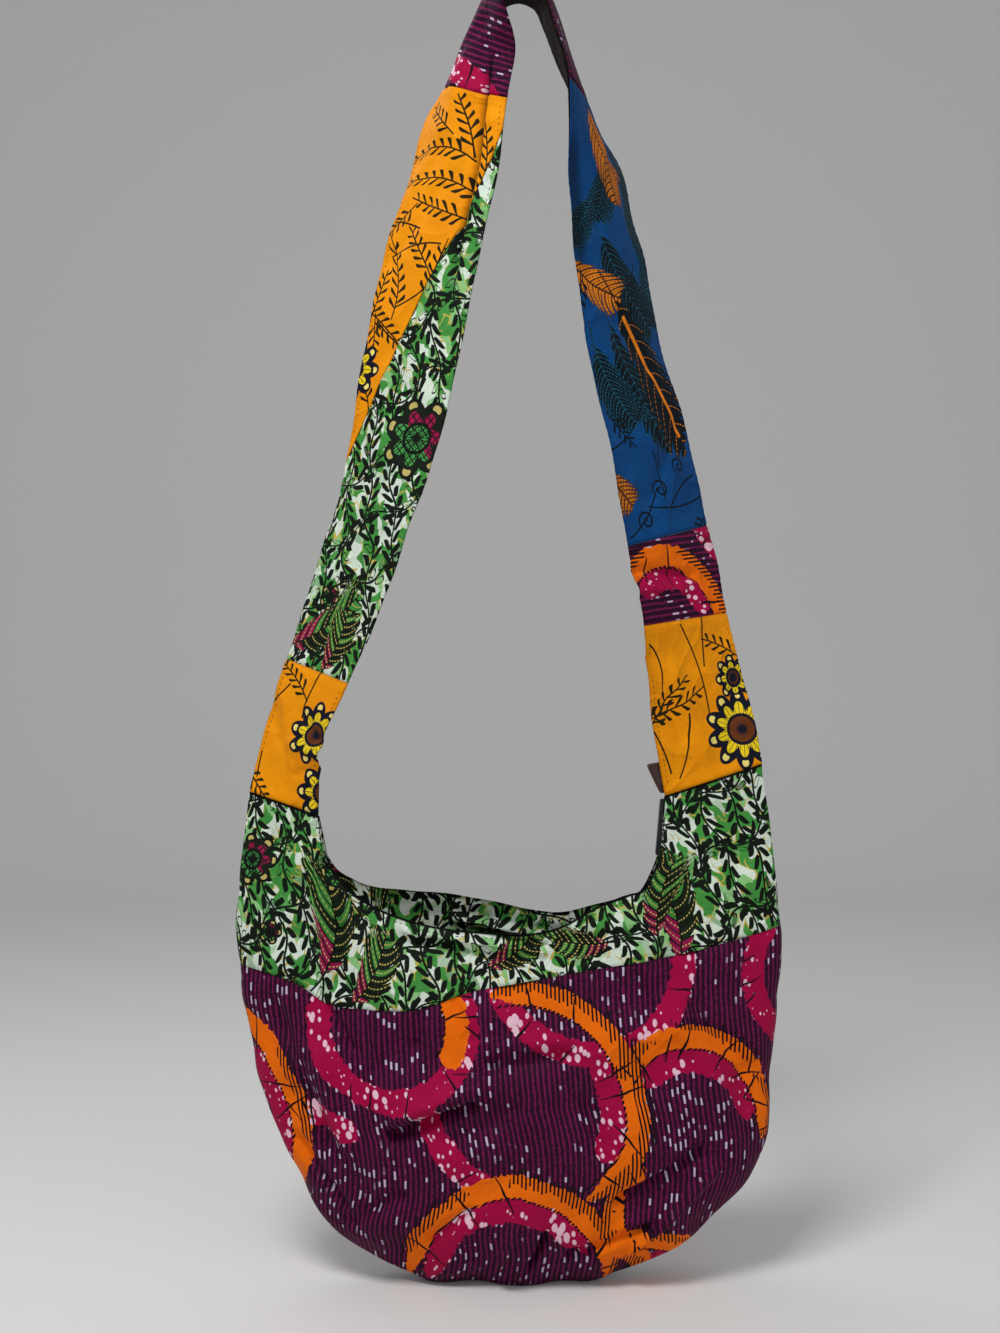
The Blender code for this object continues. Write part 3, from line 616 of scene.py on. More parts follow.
def tube(points, radius, sides, guide):
    # a round cord along points, with its flat metres
    way = unit(np.gradient(points, axis=0))
    over = unit(np.cross(way, guide))
    verts = points[:, None] + radius * ringAround(over, np.cross(over, way), sides)
    numbers = np.arange(len(points) * sides).reshape(-1, sides)
    wrapped = np.concatenate([numbers, numbers[:, :1]], axis=1)
    around = np.linspace(0, 2 * math.pi * radius, sides + 1)
    uv = np.stack(np.broadcast_arrays(around[None], gone(points)[:, None]), -1)
    faces = gridFaces(wrapped).tolist() + [numbers[0, ::-1].tolist(), numbers[-1].tolist()]
    uvs = np.concatenate([gridUvs(uv), uv[0, :sides], uv[-1, :sides]])
    return verts.reshape(-1, 3), faces, uvs


stitch = {"length": 0.0030, "pitch": 0.0042, "radius": 0.00032, "sides": 5, "shoulder": 0.62, "facet": 0.0004}


def stitchRun(name, node, middles, ways, ups, material):
    # short raised threads, each with its ends in the cloth
    ways = unit(ways)
    overs = unit(np.cross(ways, ups))
    ups = np.cross(overs, ways)
    sides, facet, middle = stitch["sides"], stitch["facet"], middles[:, None]
    ring = ringAround(overs, ups, sides) * stitch["radius"]
    half, sunk = ways[:, None] * stitch["length"] / 2, ups[:, None] * stitch["radius"]
    shoulder = half * stitch["shoulder"]
    verts = [middle - half - sunk, middle - shoulder + ring, middle + shoulder + ring, middle + half - sunk]
    verts = np.concatenate(verts, axis=1)
    pattern, uvPattern = [], []
    for k in range(sides):
        near, after = 1 + k, 1 + (k + 1) % sides
        pattern += [[0, after, near], [near, after, sides + after, sides + near]]
        pattern += [[1 + 2 * sides, sides + near, sides + after]]
        low, high = k * facet, (k + 1) * facet
        uvPattern += [(low, 0), (high, 0.0007), (low, 0.0007)]
        uvPattern += [(low, 0.0007), (high, 0.0007), (high, 0.0023), (low, 0.0023)]
        uvPattern += [(low, 0.0030), (low, 0.0023), (high, 0.0023)]
    count = 2 + 2 * sides
    faces = [[v + i * count for v in face] for i in range(len(middles)) for face in pattern]
    uvs = np.tile(np.array(uvPattern), (len(middles), 1))
    uvs[:, 1] += np.repeat(np.arange(len(middles)) * stitch["pitch"], len(uvPattern))
    threadPiece(name, node, verts.reshape(-1, 3), faces, uvs, material)


def evenly(points, ups, pitch):
    # points at an even pitch along a line, with their directions
    far = gone(points)
    at = np.arange(pitch / 2, far[-1], pitch)
    middles, lifts = (np.stack([np.interp(at, far, p[:, k]) for k in range(3)], -1) for p in (points, ups))
    return middles, np.gradient(middles, axis=0), lifts


def strapStitches(name, index, material):
    # hem stitches along both edges of one patch, on both faces
    for word, sign, inset in (("outer", -1, 0.0125), ("inner", 1, 0.0045)):
        before = patches[index - 1][word] if index else 0.0
        low, high = max(before + 0.0012, inset), min(patches[index][word] - 0.0012, 1 - inset)
        along = np.linspace(low, high, 400)
        side = sign * (1 - strapCloth["hemAt"] / strapHalf(along))
        ripple = strapRipple(along, side)
        depths = (0.00005, bag["strapCloth"] - 0.00005)
        face, back = (strapPoint(along, side, ripple + sunk) for sunk in depths)
        for label, line, lifts in (("Face", face, face - back), ("Back", back, back - face)):
            run = name + word.capitalize() + label + "Stitches"
            stitchRun(run, patches[index]["node"], *evenly(line, lifts, stitch["pitch"]), material)


def mouthStitches(inset, material):
    # the hem's stitches below the mouth's edge, on the front and the back
    shell = made["yoke"]
    kept = np.flatnonzero((shell["across"] > mouth["leftHorn"]) & (shell["across"] < mouth["rightHorn"]))
    for label, points, fromTop, way in zip(("front", "back"), shell["faces"], shell["fromTop"], (1, -1)):
        lines = []
        for grid in (points, surfaceNormals(points, False) * way):
            line = []
            for j in kept:
                order = np.argsort(fromTop[:, j])
                line.append([np.interp(inset, fromTop[order, j], grid[order, j, k]) for k in range(3)])
            lines.append(np.array(line))
        stitchRun(label + "MouthStitches", "yoke", *evenly(*lines, stitch["pitch"]), material)


lining = {"hem": 0.003, "start": 0.405, "finish": 0.690, "rows": 170, "columns": 40, "roll": 0.00035}


def liningPiece(materials):
    along = np.linspace(lining["start"], lining["finish"], lining["rows"])[:, None]
    reach = 1 - 2 * lining["hem"] / bag["strapWidth"]
    along, side = np.broadcast_arrays(along, np.linspace(-reach, reach, lining["columns"])[None])
    fromEdge = np.minimum(along - lining["start"], lining["finish"] - along) * strapLength
    fromEdge = np.minimum(fromEdge, (reach - np.abs(side)) * strapHalf(along))
    roll = lining["roll"] * np.exp(-fromEdge / 0.0008)
    top = strapRipple(along, side) + bag["strapCloth"] + bag["liningGap"]
    outer, inner = (strapPoint(along, side, top + sunk) for sunk in (roll, bag["liningCloth"] - roll))
    uv = np.stack([side * strapHalf(along), along * strapLength], -1)
    return bandPiece("strap_lining", outer, inner, uv, np.exp(-fromEdge / 0.003), materials)


zipEnd = {
    "tapeGap": 0.002, "tapeLength": 0.044, "tapeWidth": 0.003, "tapeThick": 0.0010, "coilPitch": 0.0012,
    "coilRadius": 0.0005, "wire": 0.00028, "tabWidth": 0.015, "tabLength": 0.023, "tabThick": 0.0018,
    "tabShows": 0.009, "tabTaper": 0.0062, "tabHem": 0.0018,
}


def zipTape(tape, coilMaterial):
    upper = hornTop(np.array(mouth["rightHorn"]))
    last, low = neckline["across"][-1], neckline["back"][-1]
    corner = shellPoint(last, 1, low, 0.0)
    corner[1] = (corner[1] + shellPoint(last, -1, low, 0.0)[1]) / 2
    fall = unit(corner - upper)
    beside, lift = unit(np.cross((0, 1, 0), fall)), np.array([0, 1.0, 0])
    far = np.linspace(zipEnd["tapeGap"], zipEnd["tapeLength"], 70)[:, None]
    far, over = np.broadcast_arrays(far, np.linspace(0, zipEnd["tapeWidth"], 9)[None])
    place = upper + fall * far[..., None] + beside * (bag["hornGap"] + over)[..., None]
    wave = waves(far, (0.00022, 0.017, 0)) + waves(far, (0.00012, 0.0012, 0)) * (over > 0.0021)
    outer, inner = (place + lift * (wave + way * zipEnd["tapeThick"] / 2)[..., None] for way in (-1, 1))
    edge = np.exp(-np.minimum(over, zipEnd["tapeWidth"] - over) / 0.0006)
    bandPiece("zip_tape", outer, inner, np.stack([over, far], -1), edge, [tape, tape])
    along = np.linspace(zipEnd["tapeGap"] + 0.001, zipEnd["tapeLength"] - 0.001, 520)[:, None]
    turn = along * 2 * math.pi / zipEnd["coilPitch"]
    coil = upper + fall * along + beside * (bag["hornGap"] + zipEnd["tapeWidth"])
    coil = coil + zipEnd["coilRadius"] * (beside * np.cos(turn) + lift * np.sin(turn))
    threadPiece("zipCoil", "zip_tape", *tube(coil, zipEnd["wire"], 6, fall), coilMaterial)


def zipTab(leather, thread):
    half = strapLine["width"][-1] * bag["strapWidth"] / 2
    q, r = np.broadcast_arrays(np.linspace(-1, 1, 41)[:, None], np.linspace(-1, 1, 29)[None])
    a, b = q * (1 - 0.05 * r**6), r * (1 - 0.07 * q**6)  # rounds the corners
    wide, long, thick = zipEnd["tabWidth"], zipEnd["tabLength"], zipEnd["tabThick"]

    def tabPoint(a, b, sunk):
        along = 1 - (zipEnd["tapeGap"] + long * (1 - a) / 2) / strapLength
        inFromEdge = wide * (1 - b) / 2 + zipEnd["tabTaper"] * (1 + a) * (1 + b) / 4 - zipEnd["tabShows"]
        return strapPoint(along, 1 - inFromEdge / half, bag["strapCloth"] + 0.0003 + sunk)

    thin = 0.0005 * np.maximum(np.abs(q), np.abs(r)) ** 10
    crumple = 0.00022 * np.sin(a * 7 + b * 3) * np.sin(b * 5 - a * 2)
    outer, inner = tabPoint(a, b, thin + crumple * 0.4), tabPoint(a, b, thick - thin + crumple)
    uv = np.stack([b * wide / 2, a * long / 2], -1)
    fromEdge = np.minimum((1 - np.abs(q)) * long, (1 - np.abs(r)) * wide) / 2
    bandPiece("zip_tab", outer, inner, uv, np.exp(-fromEdge / 0.0007), [leather, leather])
    inset = (1 - 2 * zipEnd["tabHem"] / long, 1 - 2 * zipEnd["tabHem"] / wide)
    turns = np.array([(-1, -1), (-1, 1), (1, 1), (1, -1), (-1, -1)], float) * inset
    loop = [np.interp(np.linspace(0, 4, 161), range(5), turns[:, k]) for k in (0, 1)]
    low, high = tabPoint(*loop, 0.00005), tabPoint(*loop, thick + 0.00005)
    stitchRun("tabFaceStitches", "zip_tab", *evenly(low, low - high, 0.0030), thread)
    stitchRun("tabBackStitches", "zip_tab", *evenly(high, high - low, 0.0030), thread)


# Shader arithmetic: a wire is a node's socket, and its signs add Math nodes


class wire:
    def __init__(self, socket):
        self.socket = socket
        self.tree = socket.id_data


def plug(socket, value):
    if isinstance(value, wire):
        value.tree.links.new(value.socket, socket)
    else:
        socket.default_value = value


def newNode(kind, values, sockets=None, output=0, **settings):
    # a node in the tree of the first wire among its values, which go to its sockets in order
    node = next(value.tree for value in values if isinstance(value, wire)).nodes.new("ShaderNode" + kind)
    for name, value in settings.items():
        setattr(node, name, value)
    for socket, value in zip(sockets or range(len(values)), values):
        plug(node.inputs[socket], value)
    return wire(node.outputs[output])


def reckon(kind, *values, clamp=False):
    return newNode("Math", values, operation=kind, use_clamp=clamp)


for sign, kind in (("add", "ADD"), ("sub", "SUBTRACT"), ("mul", "MULTIPLY"), ("truediv", "DIVIDE")):
    setattr(wire, f"__{sign}__", lambda self, other, kind=kind: reckon(kind, self, other))
    setattr(wire, f"__r{sign}__", lambda self, other, kind=kind: reckon(kind, other, self))
least, most, size, sine, cosine, part, whole = (
    partial(reckon, kind) for kind in "MINIMUM MAXIMUM ABSOLUTE SINE COSINE FRACT FLOOR".split()
)


def clip(a):
    return reckon("ADD", a, 0.0, clamp=True)


def span(a, b):
    return reckon("SQRT", a * a + b * b)


def inside(distance, soft=0.0003):
    # 1 where a distance is under 0, with a slightly soft edge, as dye has
    return reckon("MULTIPLY_ADD", distance, -1 / soft, 0.5, clamp=True)


def split(vector):
    x = newNode("SeparateXYZ", [vector])
    return x, wire(x.socket.node.outputs[1])


def joinAxes(x, y):
    return newNode("CombineXYZ", [x, y])


def noise(vector, scale, detail=2.0, output="Fac"):
    sockets = ("Vector", "Scale", "Detail")
    return newNode("TexNoise", (vector, scale, detail), sockets, output, noise_dimensions="2D")


def cells(vector, scale=1.0, output="Distance", feature="F1"):
    settings = {"voronoi_dimensions": "2D", "feature": feature}
    return newNode("TexVoronoi", (vector, scale), ("Vector", "Scale"), output, **settings)


def dice(x, y=0.0):
    # a steady random number from 0 to 1 for each whole x and y
    return newNode("TexWhiteNoise", [joinAxes(x, y)], ["Vector"], "Value", noise_dimensions="2D")


def mixed(share, first, second, blend="MIX"):
    # a colour between two
    settings = {"data_type": "RGBA", "blend_type": blend}
    return newNode("Mix", (share, first, second), (0, 6, 7), 2, **settings)


def ink(code):
    # a colour written as on a dye chart, in linear numbers
    shares = [int(code[i : i + 2], 16) / 255 for i in (0, 2, 4)]
    return (*[s / 12.92 if s < 0.04045 else ((s + 0.055) / 1.055) ** 2.4 for s in shares], 1.0)


dyes = {
    "plum": "2b0522", "plumLine": "6e1247", "dash": "c9b6d2", "magenta": "a40040", "speckle": "f0c4d6",
    "orange": "ee6c00", "black": "12050b", "saffron": "f29a00", "warm": "e88a00", "crackle": "7a7a20",
    "bark": "231d06", "yellow": "f0cf1c", "navy": "101222", "rust": "7a3c06", "cream": "f3dc7a",
    "blue": "044c88", "blueDeep": "03386c", "tealBlack": "061218", "teal": "1a7390", "tealEdge": "0c3a4c",
    "amber": "e58118", "brown": "261310", "mint": "d3e0d0", "leaf": "43903f", "paleLeaf": "86bd79",
    "ochre": "c4a94c", "vine": "0c150c", "leafBlack": "12200d", "berry": "8c1046", "blade": "3c8438",
    "leafInk": "0b110b", "leafDot": "c9b566", "bloomRed": "9c1047", "bloomGreen": "46974a",
    "bloomHeart": "3f8f46", "bloomGrid": "0e120e", "bloomBand": "111a10", "bloomInk": "0b100a",
    "bloomDot": "bfae66",
}
dyes = {name: ink(code) for name, code in dyes.items()}


def shaderGroup(inputs, outputs):
    # turns a drawing function into a node group. The words are its Float sockets, or word:kind.
    def build(draw):
        tree = bpy.data.node_groups.new(draw.__name__, "ShaderNodeTree")
        for way, words in (("INPUT", inputs), ("OUTPUT", outputs)):
            for word in words.split():
                label, _, kind = word.partition(":")
                kind = "NodeSocket" + (kind or "Float")
                tree.interface.new_socket(name=label, in_out=way, socket_type=kind)
        comes, goes = tree.nodes.new("NodeGroupInput"), tree.nodes.new("NodeGroupOutput")
        drawn = draw(*[wire(comes.outputs[k]) for k in range(len(inputs.split()))])
        for socket, value in zip(goes.inputs, drawn if isinstance(drawn, tuple) else (drawn,)):
            plug(socket, value)
        return tree

    return build


def use(group, vector, *values):
    # places a group in a vector's tree and gives back its outputs. Its other inputs follow in order.
    node = newNode("Group", [vector], ["Vector"], node_tree=group).socket.node
    for socket, value in zip(node.inputs[1:], values):
        plug(socket, value)
    outputs = [wire(socket) for socket in node.outputs]
    return outputs[0] if len(outputs) == 1 else outputs


def turned(vector, x, y, turn):
    # a print's own axes, about a centre and turned by an angle
    u, v = split(vector)
    u, v = u - x, v - y
    c, s = (cosine(turn), sine(turn)) if isinstance(turn, wire) else (math.cos(turn), math.sin(turn))
    return u * c + v * s, v * c - u * s


def lineAway(u, v, bend, thick, low, high):
    # the distance from a bent line between two ends
    return most(size(v - u * u * bend) - thick, most(low - u, u - high))


@shaderGroup("Vector:Vector Pitch", "Height Slubs")
def cottonWeave(vector, pitch):
    # plain weave: each thread goes over one and under the next
    u, v = split(vector)
    warp, weft = sine(u * math.pi / pitch), sine(v * math.pi / pitch)
    over = warp * weft * 0.5 + 0.5
    slubs = noise(joinAxes(u * 2600.0, v * 90.0), 1.0, 1.0) + noise(joinAxes(u * 90.0, v * 2600.0), 1.0, 1.0)
    return most(size(warp) * over, size(weft) * (1 - over)), slubs - 1.0


@shaderGroup("Vector:Vector Length", "Height")
def softCreases(vector, length):
    # soft unironed waves, with a few sharper lines
    ridge = 1 - size(noise(vector, 0.45 / length, 1.0) * 2 - 1)
    return noise(vector, 1.0 / length, 3.0) + reckon("POWER", ridge, 9.0) * 0.35


@shaderGroup("Vector:Vector Edge", "Tint Roughness")
def dyeWearAndShade(vector, edge):
    # uneven dye over the cloth, faded just beside the seams; darker in the seams, partly dye and partly
    # painted shade, and darker wherever Edge holds painted shade
    patchy, fine = noise(vector, 22.0, 3.0) - 0.5, noise(vector, 700.0, 2.0) - 0.5
    tint = 1 + patchy * 0.16 + fine * 0.10 + edge * (1 - edge) * 0.22 - edge * edge * 0.30
    return tint, 0.72 + patchy * 0.10 + fine * 0.12 + edge * 0.08


@shaderGroup("Vector:Vector Pitch", "Line Dash")
def stripePrint(vector, pitch):
    # fine upright lines with short pale dashes on them
    u, v = split(vector)
    u = u + (noise(joinAxes(u * 6, v), 55.0, 1.0) - 0.5) * 0.0011
    column, offset = whole(u / pitch), (part(u / pitch) - 0.5) * pitch
    line = inside(size(offset) - pitch * 0.17 - (noise(vector, 420.0, 1.0) - 0.5) * 0.0014)
    at = v / 0.0095 + dice(column) * 7
    row = whole(at)
    shown = inside(dice(column, row) * 0.001 + 0.00033 - noise(vector, 20.0, 1.0) * 0.0011, 0.0001)
    length = 0.0012 + dice(column + 31, row) * 0.0021
    dash = inside(most(size(offset) - 0.0007, size((part(at) - 0.5) * 0.0095) - length)) * shown
    return line, dash


@shaderGroup(
    "Vector:Vector Jag Bare Wander X Y Radius OrangeTurn OrangeSweep MagentaTurn MagentaSweep",
    "Orange Magenta Ink",
)
def ringPrint(vector, jag, bare, wander, x, y, radius, orangeTurn, orangeSweep, magentaTurn, magentaSweep):
    # one ring of the print: an orange arc with a black comb outside, and a magenta arc inside
    u, v = split(vector)
    du, dv = u - x, v - y
    away = span(du, dv)
    out = away - radius
    arcs = []
    for turn, sweep, middle, half in (
        (orangeTurn, orangeSweep, 0.007, 0.0088), (magentaTurn, magentaSweep, -0.0095, 0.0096),
    ):
        facing = (du * cosine(turn) + dv * sine(turn)) / away
        share = clip((facing - cosine(sweep)) / (1.001 - cosine(sweep)))
        wide = half * reckon("SQRT", clip(share * 3.0)) - 0.0005
        arcs.append((share, wide, inside(size(out + jag - middle) - wide)))
    (share, wide, orange), (_, _, magenta) = arcs
    comb = inside(size(part(u / 0.0029) - 0.5) * 0.0029 - 0.00068)
    tall = 0.0034 + dice(whole(u / 0.0029)) * 0.0042
    combed = inside(size(out - 0.0092 - wide * 0.5) - tall) * bare
    dots = inside(size(part((du - dv) / 0.0042) - 0.5) * 0.0042 - 0.0012)
    dotted = inside(size(out + 0.0016) - 0.0010) * dots
    angle = reckon("ARCTAN2", dv, du) * 4.5
    chance = dice(whole(angle), radius * 999.0)
    lean = (part(chance * 7.3) - 0.5) * 1.5
    cross = (part(angle) - 0.5) * away / 4.5 + lean * out + wander
    crossing = inside(size(cross) - 0.00090 * clip(1.15 - size(out) / 0.020)) * inside(chance - 0.42, 0.01)
    crossing = crossing * inside(size(out) - 0.0175) * clip(orange + magenta)
    black = most(most(comb * combed, dotted) * inside(0.03 - share, 0.01), crossing)
    return orange, magenta, clip(black)


@shaderGroup("Vector:Vector Turn Pitch Leaf Hollow", "Ink")
def vinePrint(vector, turn, pitch, leaf, hollow):
    # rows of wandering stems with pointed leaves on both sides
    u, v = turned(vector, 0.0, 0.0, turn)
    column = whole(u / pitch)
    chance = dice(column)
    x = (part(u / pitch) - 0.5) * pitch + sine(v * 120.0 + chance * 40.0) * pitch * 0.13
    y = v * reckon("SIGN", chance - 0.5) + chance * 0.4
    lean = math.radians(42)
    side = reckon("SIGN", x)
    gap = leaf * 1.02
    at = (y - size(x) / math.tan(lean) + side * gap * 0.25) / gap
    k = (part(at) - 0.5) * gap * math.sin(lean)
    own = dice(whole(at) + side * 13, column)
    past = (size(x) / math.sin(lean) - 0.0012) / (leaf * (0.80 + own * 0.45))
    blade = size(k) - sine(clip(reckon("POWER", clip(past), 0.8)) * math.pi) * leaf * 0.255
    stalk = most(size(k) - 0.00045, past - 0.25)
    cut = inside(blade + leaf * 0.085) * inside(own - hollow, 0.02)
    dark = inside(least(least(blade, size(x) - 0.00082), stalk)) - cut
    return clip(dark)


@shaderGroup("Vector:Vector X Y Turn Length Width Bend", "Ink Area Dots Pick")
def frondPrint(vector, x, y, turn, length, width, bend):
    # a palm leaf with curved blades on both sides of its rib
    u, v = turned(vector, x, y, turn)
    v = v - u * u * bend
    high, side = size(v), reckon("SIGN", v)
    pitch = length * 0.115
    base = u - high * 0.30 - high * high * 42.0 + side * pitch * 0.25
    half = length * width * reckon("POWER", clip(sine(clip(base / length) * math.pi)), 0.55) + 1e-5
    past = clip(high / half)
    k = size(part(base / pitch) - 0.5) * pitch
    thick = pitch * 0.53 * reckon("SQRT", 1 - past * past * past)
    edge = most(most(k - thick, high - half), most(base * -1.0, base - length))
    area = inside(edge)
    rib = most(high - 0.0008, most(u * -1.0 - length * 0.25, u - length))
    dark = most(inside(size(edge + 0.0004) - 0.0005), inside(rib))
    dots = inside(most(k - 0.00045, size(part(high / 0.0022) - 0.5) * 0.0022 - 0.0006)) * area
    return clip(dark), area, dots, dice(whole(base / pitch) + side * 7.0)


@shaderGroup("Vector:Vector X Y Turn Length Bend Leaf", "Distance")
def sprigPrint(vector, x, y, turn, length, bend, leaf):
    # a bent twig with club-shaped leaflets, as a distance from its drawn edge
    u, v = turned(vector, x, y, turn)
    v = v - u * u * bend
    lean = math.radians(50)
    gap = leaf * 0.72
    base = u - size(v) / math.tan(lean) + reckon("SIGN", v) * gap * 0.25
    k = (part(base / gap) - 0.5) * gap * math.sin(lean)
    past = size(v) / math.sin(lean)
    reach = leaf * (1.0 - clip(base / length) * 0.35)
    half = 0.00050 + least(past, reach) * 0.118
    leaflet = span(k, most(past - reach + half, 0.0)) - half
    within = most(base * -1.0 - gap * 0.2, base - length)
    stem = most(size(v) - 0.00062, most(u * -1.0 - leaf * 0.6, u - length - leaf * 0.5))
    return least(stem, most(leaflet, within))


@shaderGroup("Vector:Vector X Y Turn Radius Petals", "Ink Petal Band Heart Spots")
def bloomPrint(vector, x, y, turn, radius, petals):
    # a round flower: scalloped petals with a spotted band, about a round heart
    u, v = turned(vector, x, y, turn)
    away, angle = span(u, v) / radius, reckon("ARCTAN2", v, u)
    lobe = size(cosine(angle * petals * 0.5))
    edge = away - 0.72 - lobe * 0.28
    petal = inside(edge * radius)
    band = inside((-0.30 - edge) * radius) * petal
    vein = inside(size(sine(angle * petals * 1.5)) * away * radius * 0.28 - 0.0009) * petal
    spots = inside(span((edge + 0.14) * radius, (1 - lobe) * radius * 0.55) - radius * 0.075) * petal
    lines = most(inside(size(edge) * radius - 0.0007), vein * (1 - band))
    dark = most(lines, inside(size(away - 0.36) * radius - 0.0012))
    return clip(dark), petal, band, inside((away - 0.36) * radius), spots


def swayed(vector, scale, detail, reach):
    # a print's axes with a slow uneven drift
    red, green = split(noise(vector, scale, detail, "Color"))
    return (red - 0.5) * reach, (green - 0.5) * reach


@shaderGroup("Vector:Vector", "Colour:Color")
def leafGround(vector):
    # the leaf print: white and green dabs, thin ochre lines and rows of dark vines
    u, v = split(vector)
    slow, fine = swayed(vector, 11.0, 1.0, 0.019), swayed(vector, 75.0, 0.0, 0.011)
    u, v = u + slow[0], v + slow[1]
    place = joinAxes(u, v)
    u, v = u + fine[0], v + fine[1]
    dabs = joinAxes(u * 170.0 + v * 70.0, v * 92.0 - u * 40.0)
    chance, other = split(cells(dabs, output="Color"))
    ground = mixed(inside(0.55 - chance, 0.06), dyes["mint"], dyes["leaf"])
    ground = mixed(inside(0.86 - other, 0.05), ground, dyes["paleLeaf"])
    edge = cells(dabs, feature="DISTANCE_TO_EDGE")
    ochre = inside(edge - 0.06, 0.05) * inside(0.56 - noise(vector, 90.0, 1.0), 0.1)
    ground = mixed(ochre, ground, dyes["ochre"])
    rows = ((0.30, 0.0196, 0.0096, 0.16), (-0.95, 0.0400, 0.0104, 0.26))
    vines = [use(vinePrint, place, *row) for row in rows]
    return mixed(most(*vines), ground, dyes["vine"])
print("print groups made:", len(bpy.data.node_groups))


def startCloth(name):
    material = bpy.data.materials.new(name)
    material.use_nodes = True
    uv = material.node_tree.nodes.new("ShaderNodeUVMap")
    uv.uv_map = "cloth"
    return material, wire(uv.outputs["UV"])


def nearEdge(material):
    node = material.node_tree.nodes.new("ShaderNodeAttribute")
    node.attribute_name = "edgeNear"
    return wire(node.outputs["Fac"])


def dress(material, colour, rough, height=None):
    # plugs a colour, a roughness and a relief into the material's surface
    surface = material.node_tree.nodes["Principled BSDF"]
    plug(surface.inputs["Base Color"], colour)
    plug(surface.inputs["Roughness"], rough)
    if height:
        plug(surface.inputs["Normal"], newNode("Bump", (height, 1.0), ("Height", "Distance"), "Normal"))
    return material


cotton = {
    "sheen": 0.02, "sheenRoughness": 0.4, "specular": 0.12, "weavePitch": 0.00045, "weaveHeight": 0.00003,
    "creaseLength": 0.022, "creaseHeight": 0.0024,
}


def finishCloth(material, place, colour, **own):
    # the finish that every cotton piece shares, but for its own heights
    look = {**cotton, **own}
    threads, slubs = use(cottonWeave, place, cotton["weavePitch"])
    tint, rough = use(dyeWearAndShade, place, nearEdge(material))
    creased = use(softCreases, place, cotton["creaseLength"])
    # the weave's height darkens the colour between the threads: painted shade; the slubs are the yarn's own
    # tone
    shade = tint * (1 + slubs * 0.12) * (0.94 + threads * 0.10)
    grey = newNode("CombineColor", [shade] * 3)
    surface = material.node_tree.nodes["Principled BSDF"]
    surface.inputs["Sheen Weight"].default_value = cotton["sheen"]
    surface.inputs["Sheen Roughness"].default_value = cotton["sheenRoughness"]
    surface.inputs["Specular IOR Level"].default_value = cotton["specular"]
    relief = creased * look["creaseHeight"] + threads * look["weaveHeight"]
    return dress(material, mixed(1.0, colour, grey, "MULTIPLY"), rough, relief)


def motif(group, place, x, y, turn, *sizes):
    # one motif of a print, from a row of its table, where turns are in degrees
    return use(group, place, x, y, math.radians(turn), *sizes)


def paint(colour, *layers):
    # masks with their dyes, one over another
    for mask, dye in layers:
        colour = mixed(mask, colour, dyes[dye] if isinstance(dye, str) else dye)
    return colour


def stripedCloth(name, pitch, turn, rings):
    # the striped print with its rings: the sack, the strap's top and its small right patch
    material, place = startCloth(name)
    if turn:
        place = joinAxes(*turned(place, 0.0, 0.0, turn))
    c, s = math.cos(turn), math.sin(turn)
    line, dash = use(stripePrint, place, pitch)
    jag = (noise(place, 240.0, 2.0) - 0.5) * 0.0060
    bare = inside(0.43 - noise(place, 16.0, 1.0), 0.02)
    wander = (noise(place, 90.0, 1.0) - 0.5) * 0.0024
    drawn = []
    for x, y, radius, *turns in rings:
        orange, orangeSweep, magenta, magentaSweep = map(math.radians, turns)
        circle = (x * c + y * s, y * c - x * s, radius)
        arcs = (orange - turn, orangeSweep, magenta - turn, magentaSweep)
        drawn.append(use(ringPrint, place, jag, bare, wander, *circle, *arcs))
    orange, magenta, black = (reduce(most, layer) for layer in zip(*drawn))
    u, v = split(place)
    spots = cells(joinAxes(u * 185.0, v * 120.0)) - (noise(place, 45.0, 1.0) - 0.42) * 1.5
    rose = paint(dyes["magenta"], (inside(spots, 0.08), "speckle"))
    layers = [(line, "plumLine"), (dash, "dash"), (magenta, rose), (orange, "orange"), (black, "black")]
    return finishCloth(material, place, paint(dyes["plum"], *layers))


def leafCloth(name, fronds, blooms):
    # the green leaf print with its large dark motifs: the yoke and one long patch
    material, place = startCloth(name)
    colour = use(leafGround, place)
    for row in fronds:
        dark, area, dots, pick = motif(frondPrint, place, *row)
        low, high = inside(pick - 0.36, 0.02), inside(0.74 - pick, 0.02)
        fill = paint(dyes["leafBlack"], (low, "berry"), (high, "blade"))
        colour = paint(colour, (area, fill), (dark, "leafInk"), (dots, "leafDot"))
    for x, y, turn, *sizes in blooms:
        dark, petal, band, heart, spots = motif(bloomPrint, place, x, y, turn, *sizes)
        axes = turned(place, x, y, math.radians(turn + 40))
        grid = inside(least(*(size(part(axis / 0.0046) - 0.5) for axis in axes)) * 0.0046 - 0.0005)
        petals = paint(dyes["bloomRed"], (inside(axes[0]), "bloomGreen"), (grid, "bloomGrid"))
        middle = paint(dyes["bloomHeart"], (grid, "bloomGrid"))
        colour = paint(colour, (petal, petals), (band, "bloomBand"), (heart, middle))
        colour = paint(colour, (dark, "bloomInk"), (spots, "bloomDot"))
    return finishCloth(material, place, colour)


def twigs(place, sprigs, lines):
    # distances from leafy twigs and thin branches
    away = [motif(sprigPrint, place, *row) for row in sprigs]
    for x, y, turn, length, bend in lines:
        u, v = turned(place, x, y, math.radians(turn))
        away.append(lineAway(u, v, bend, 0.0007, 0.0, length))
    return away


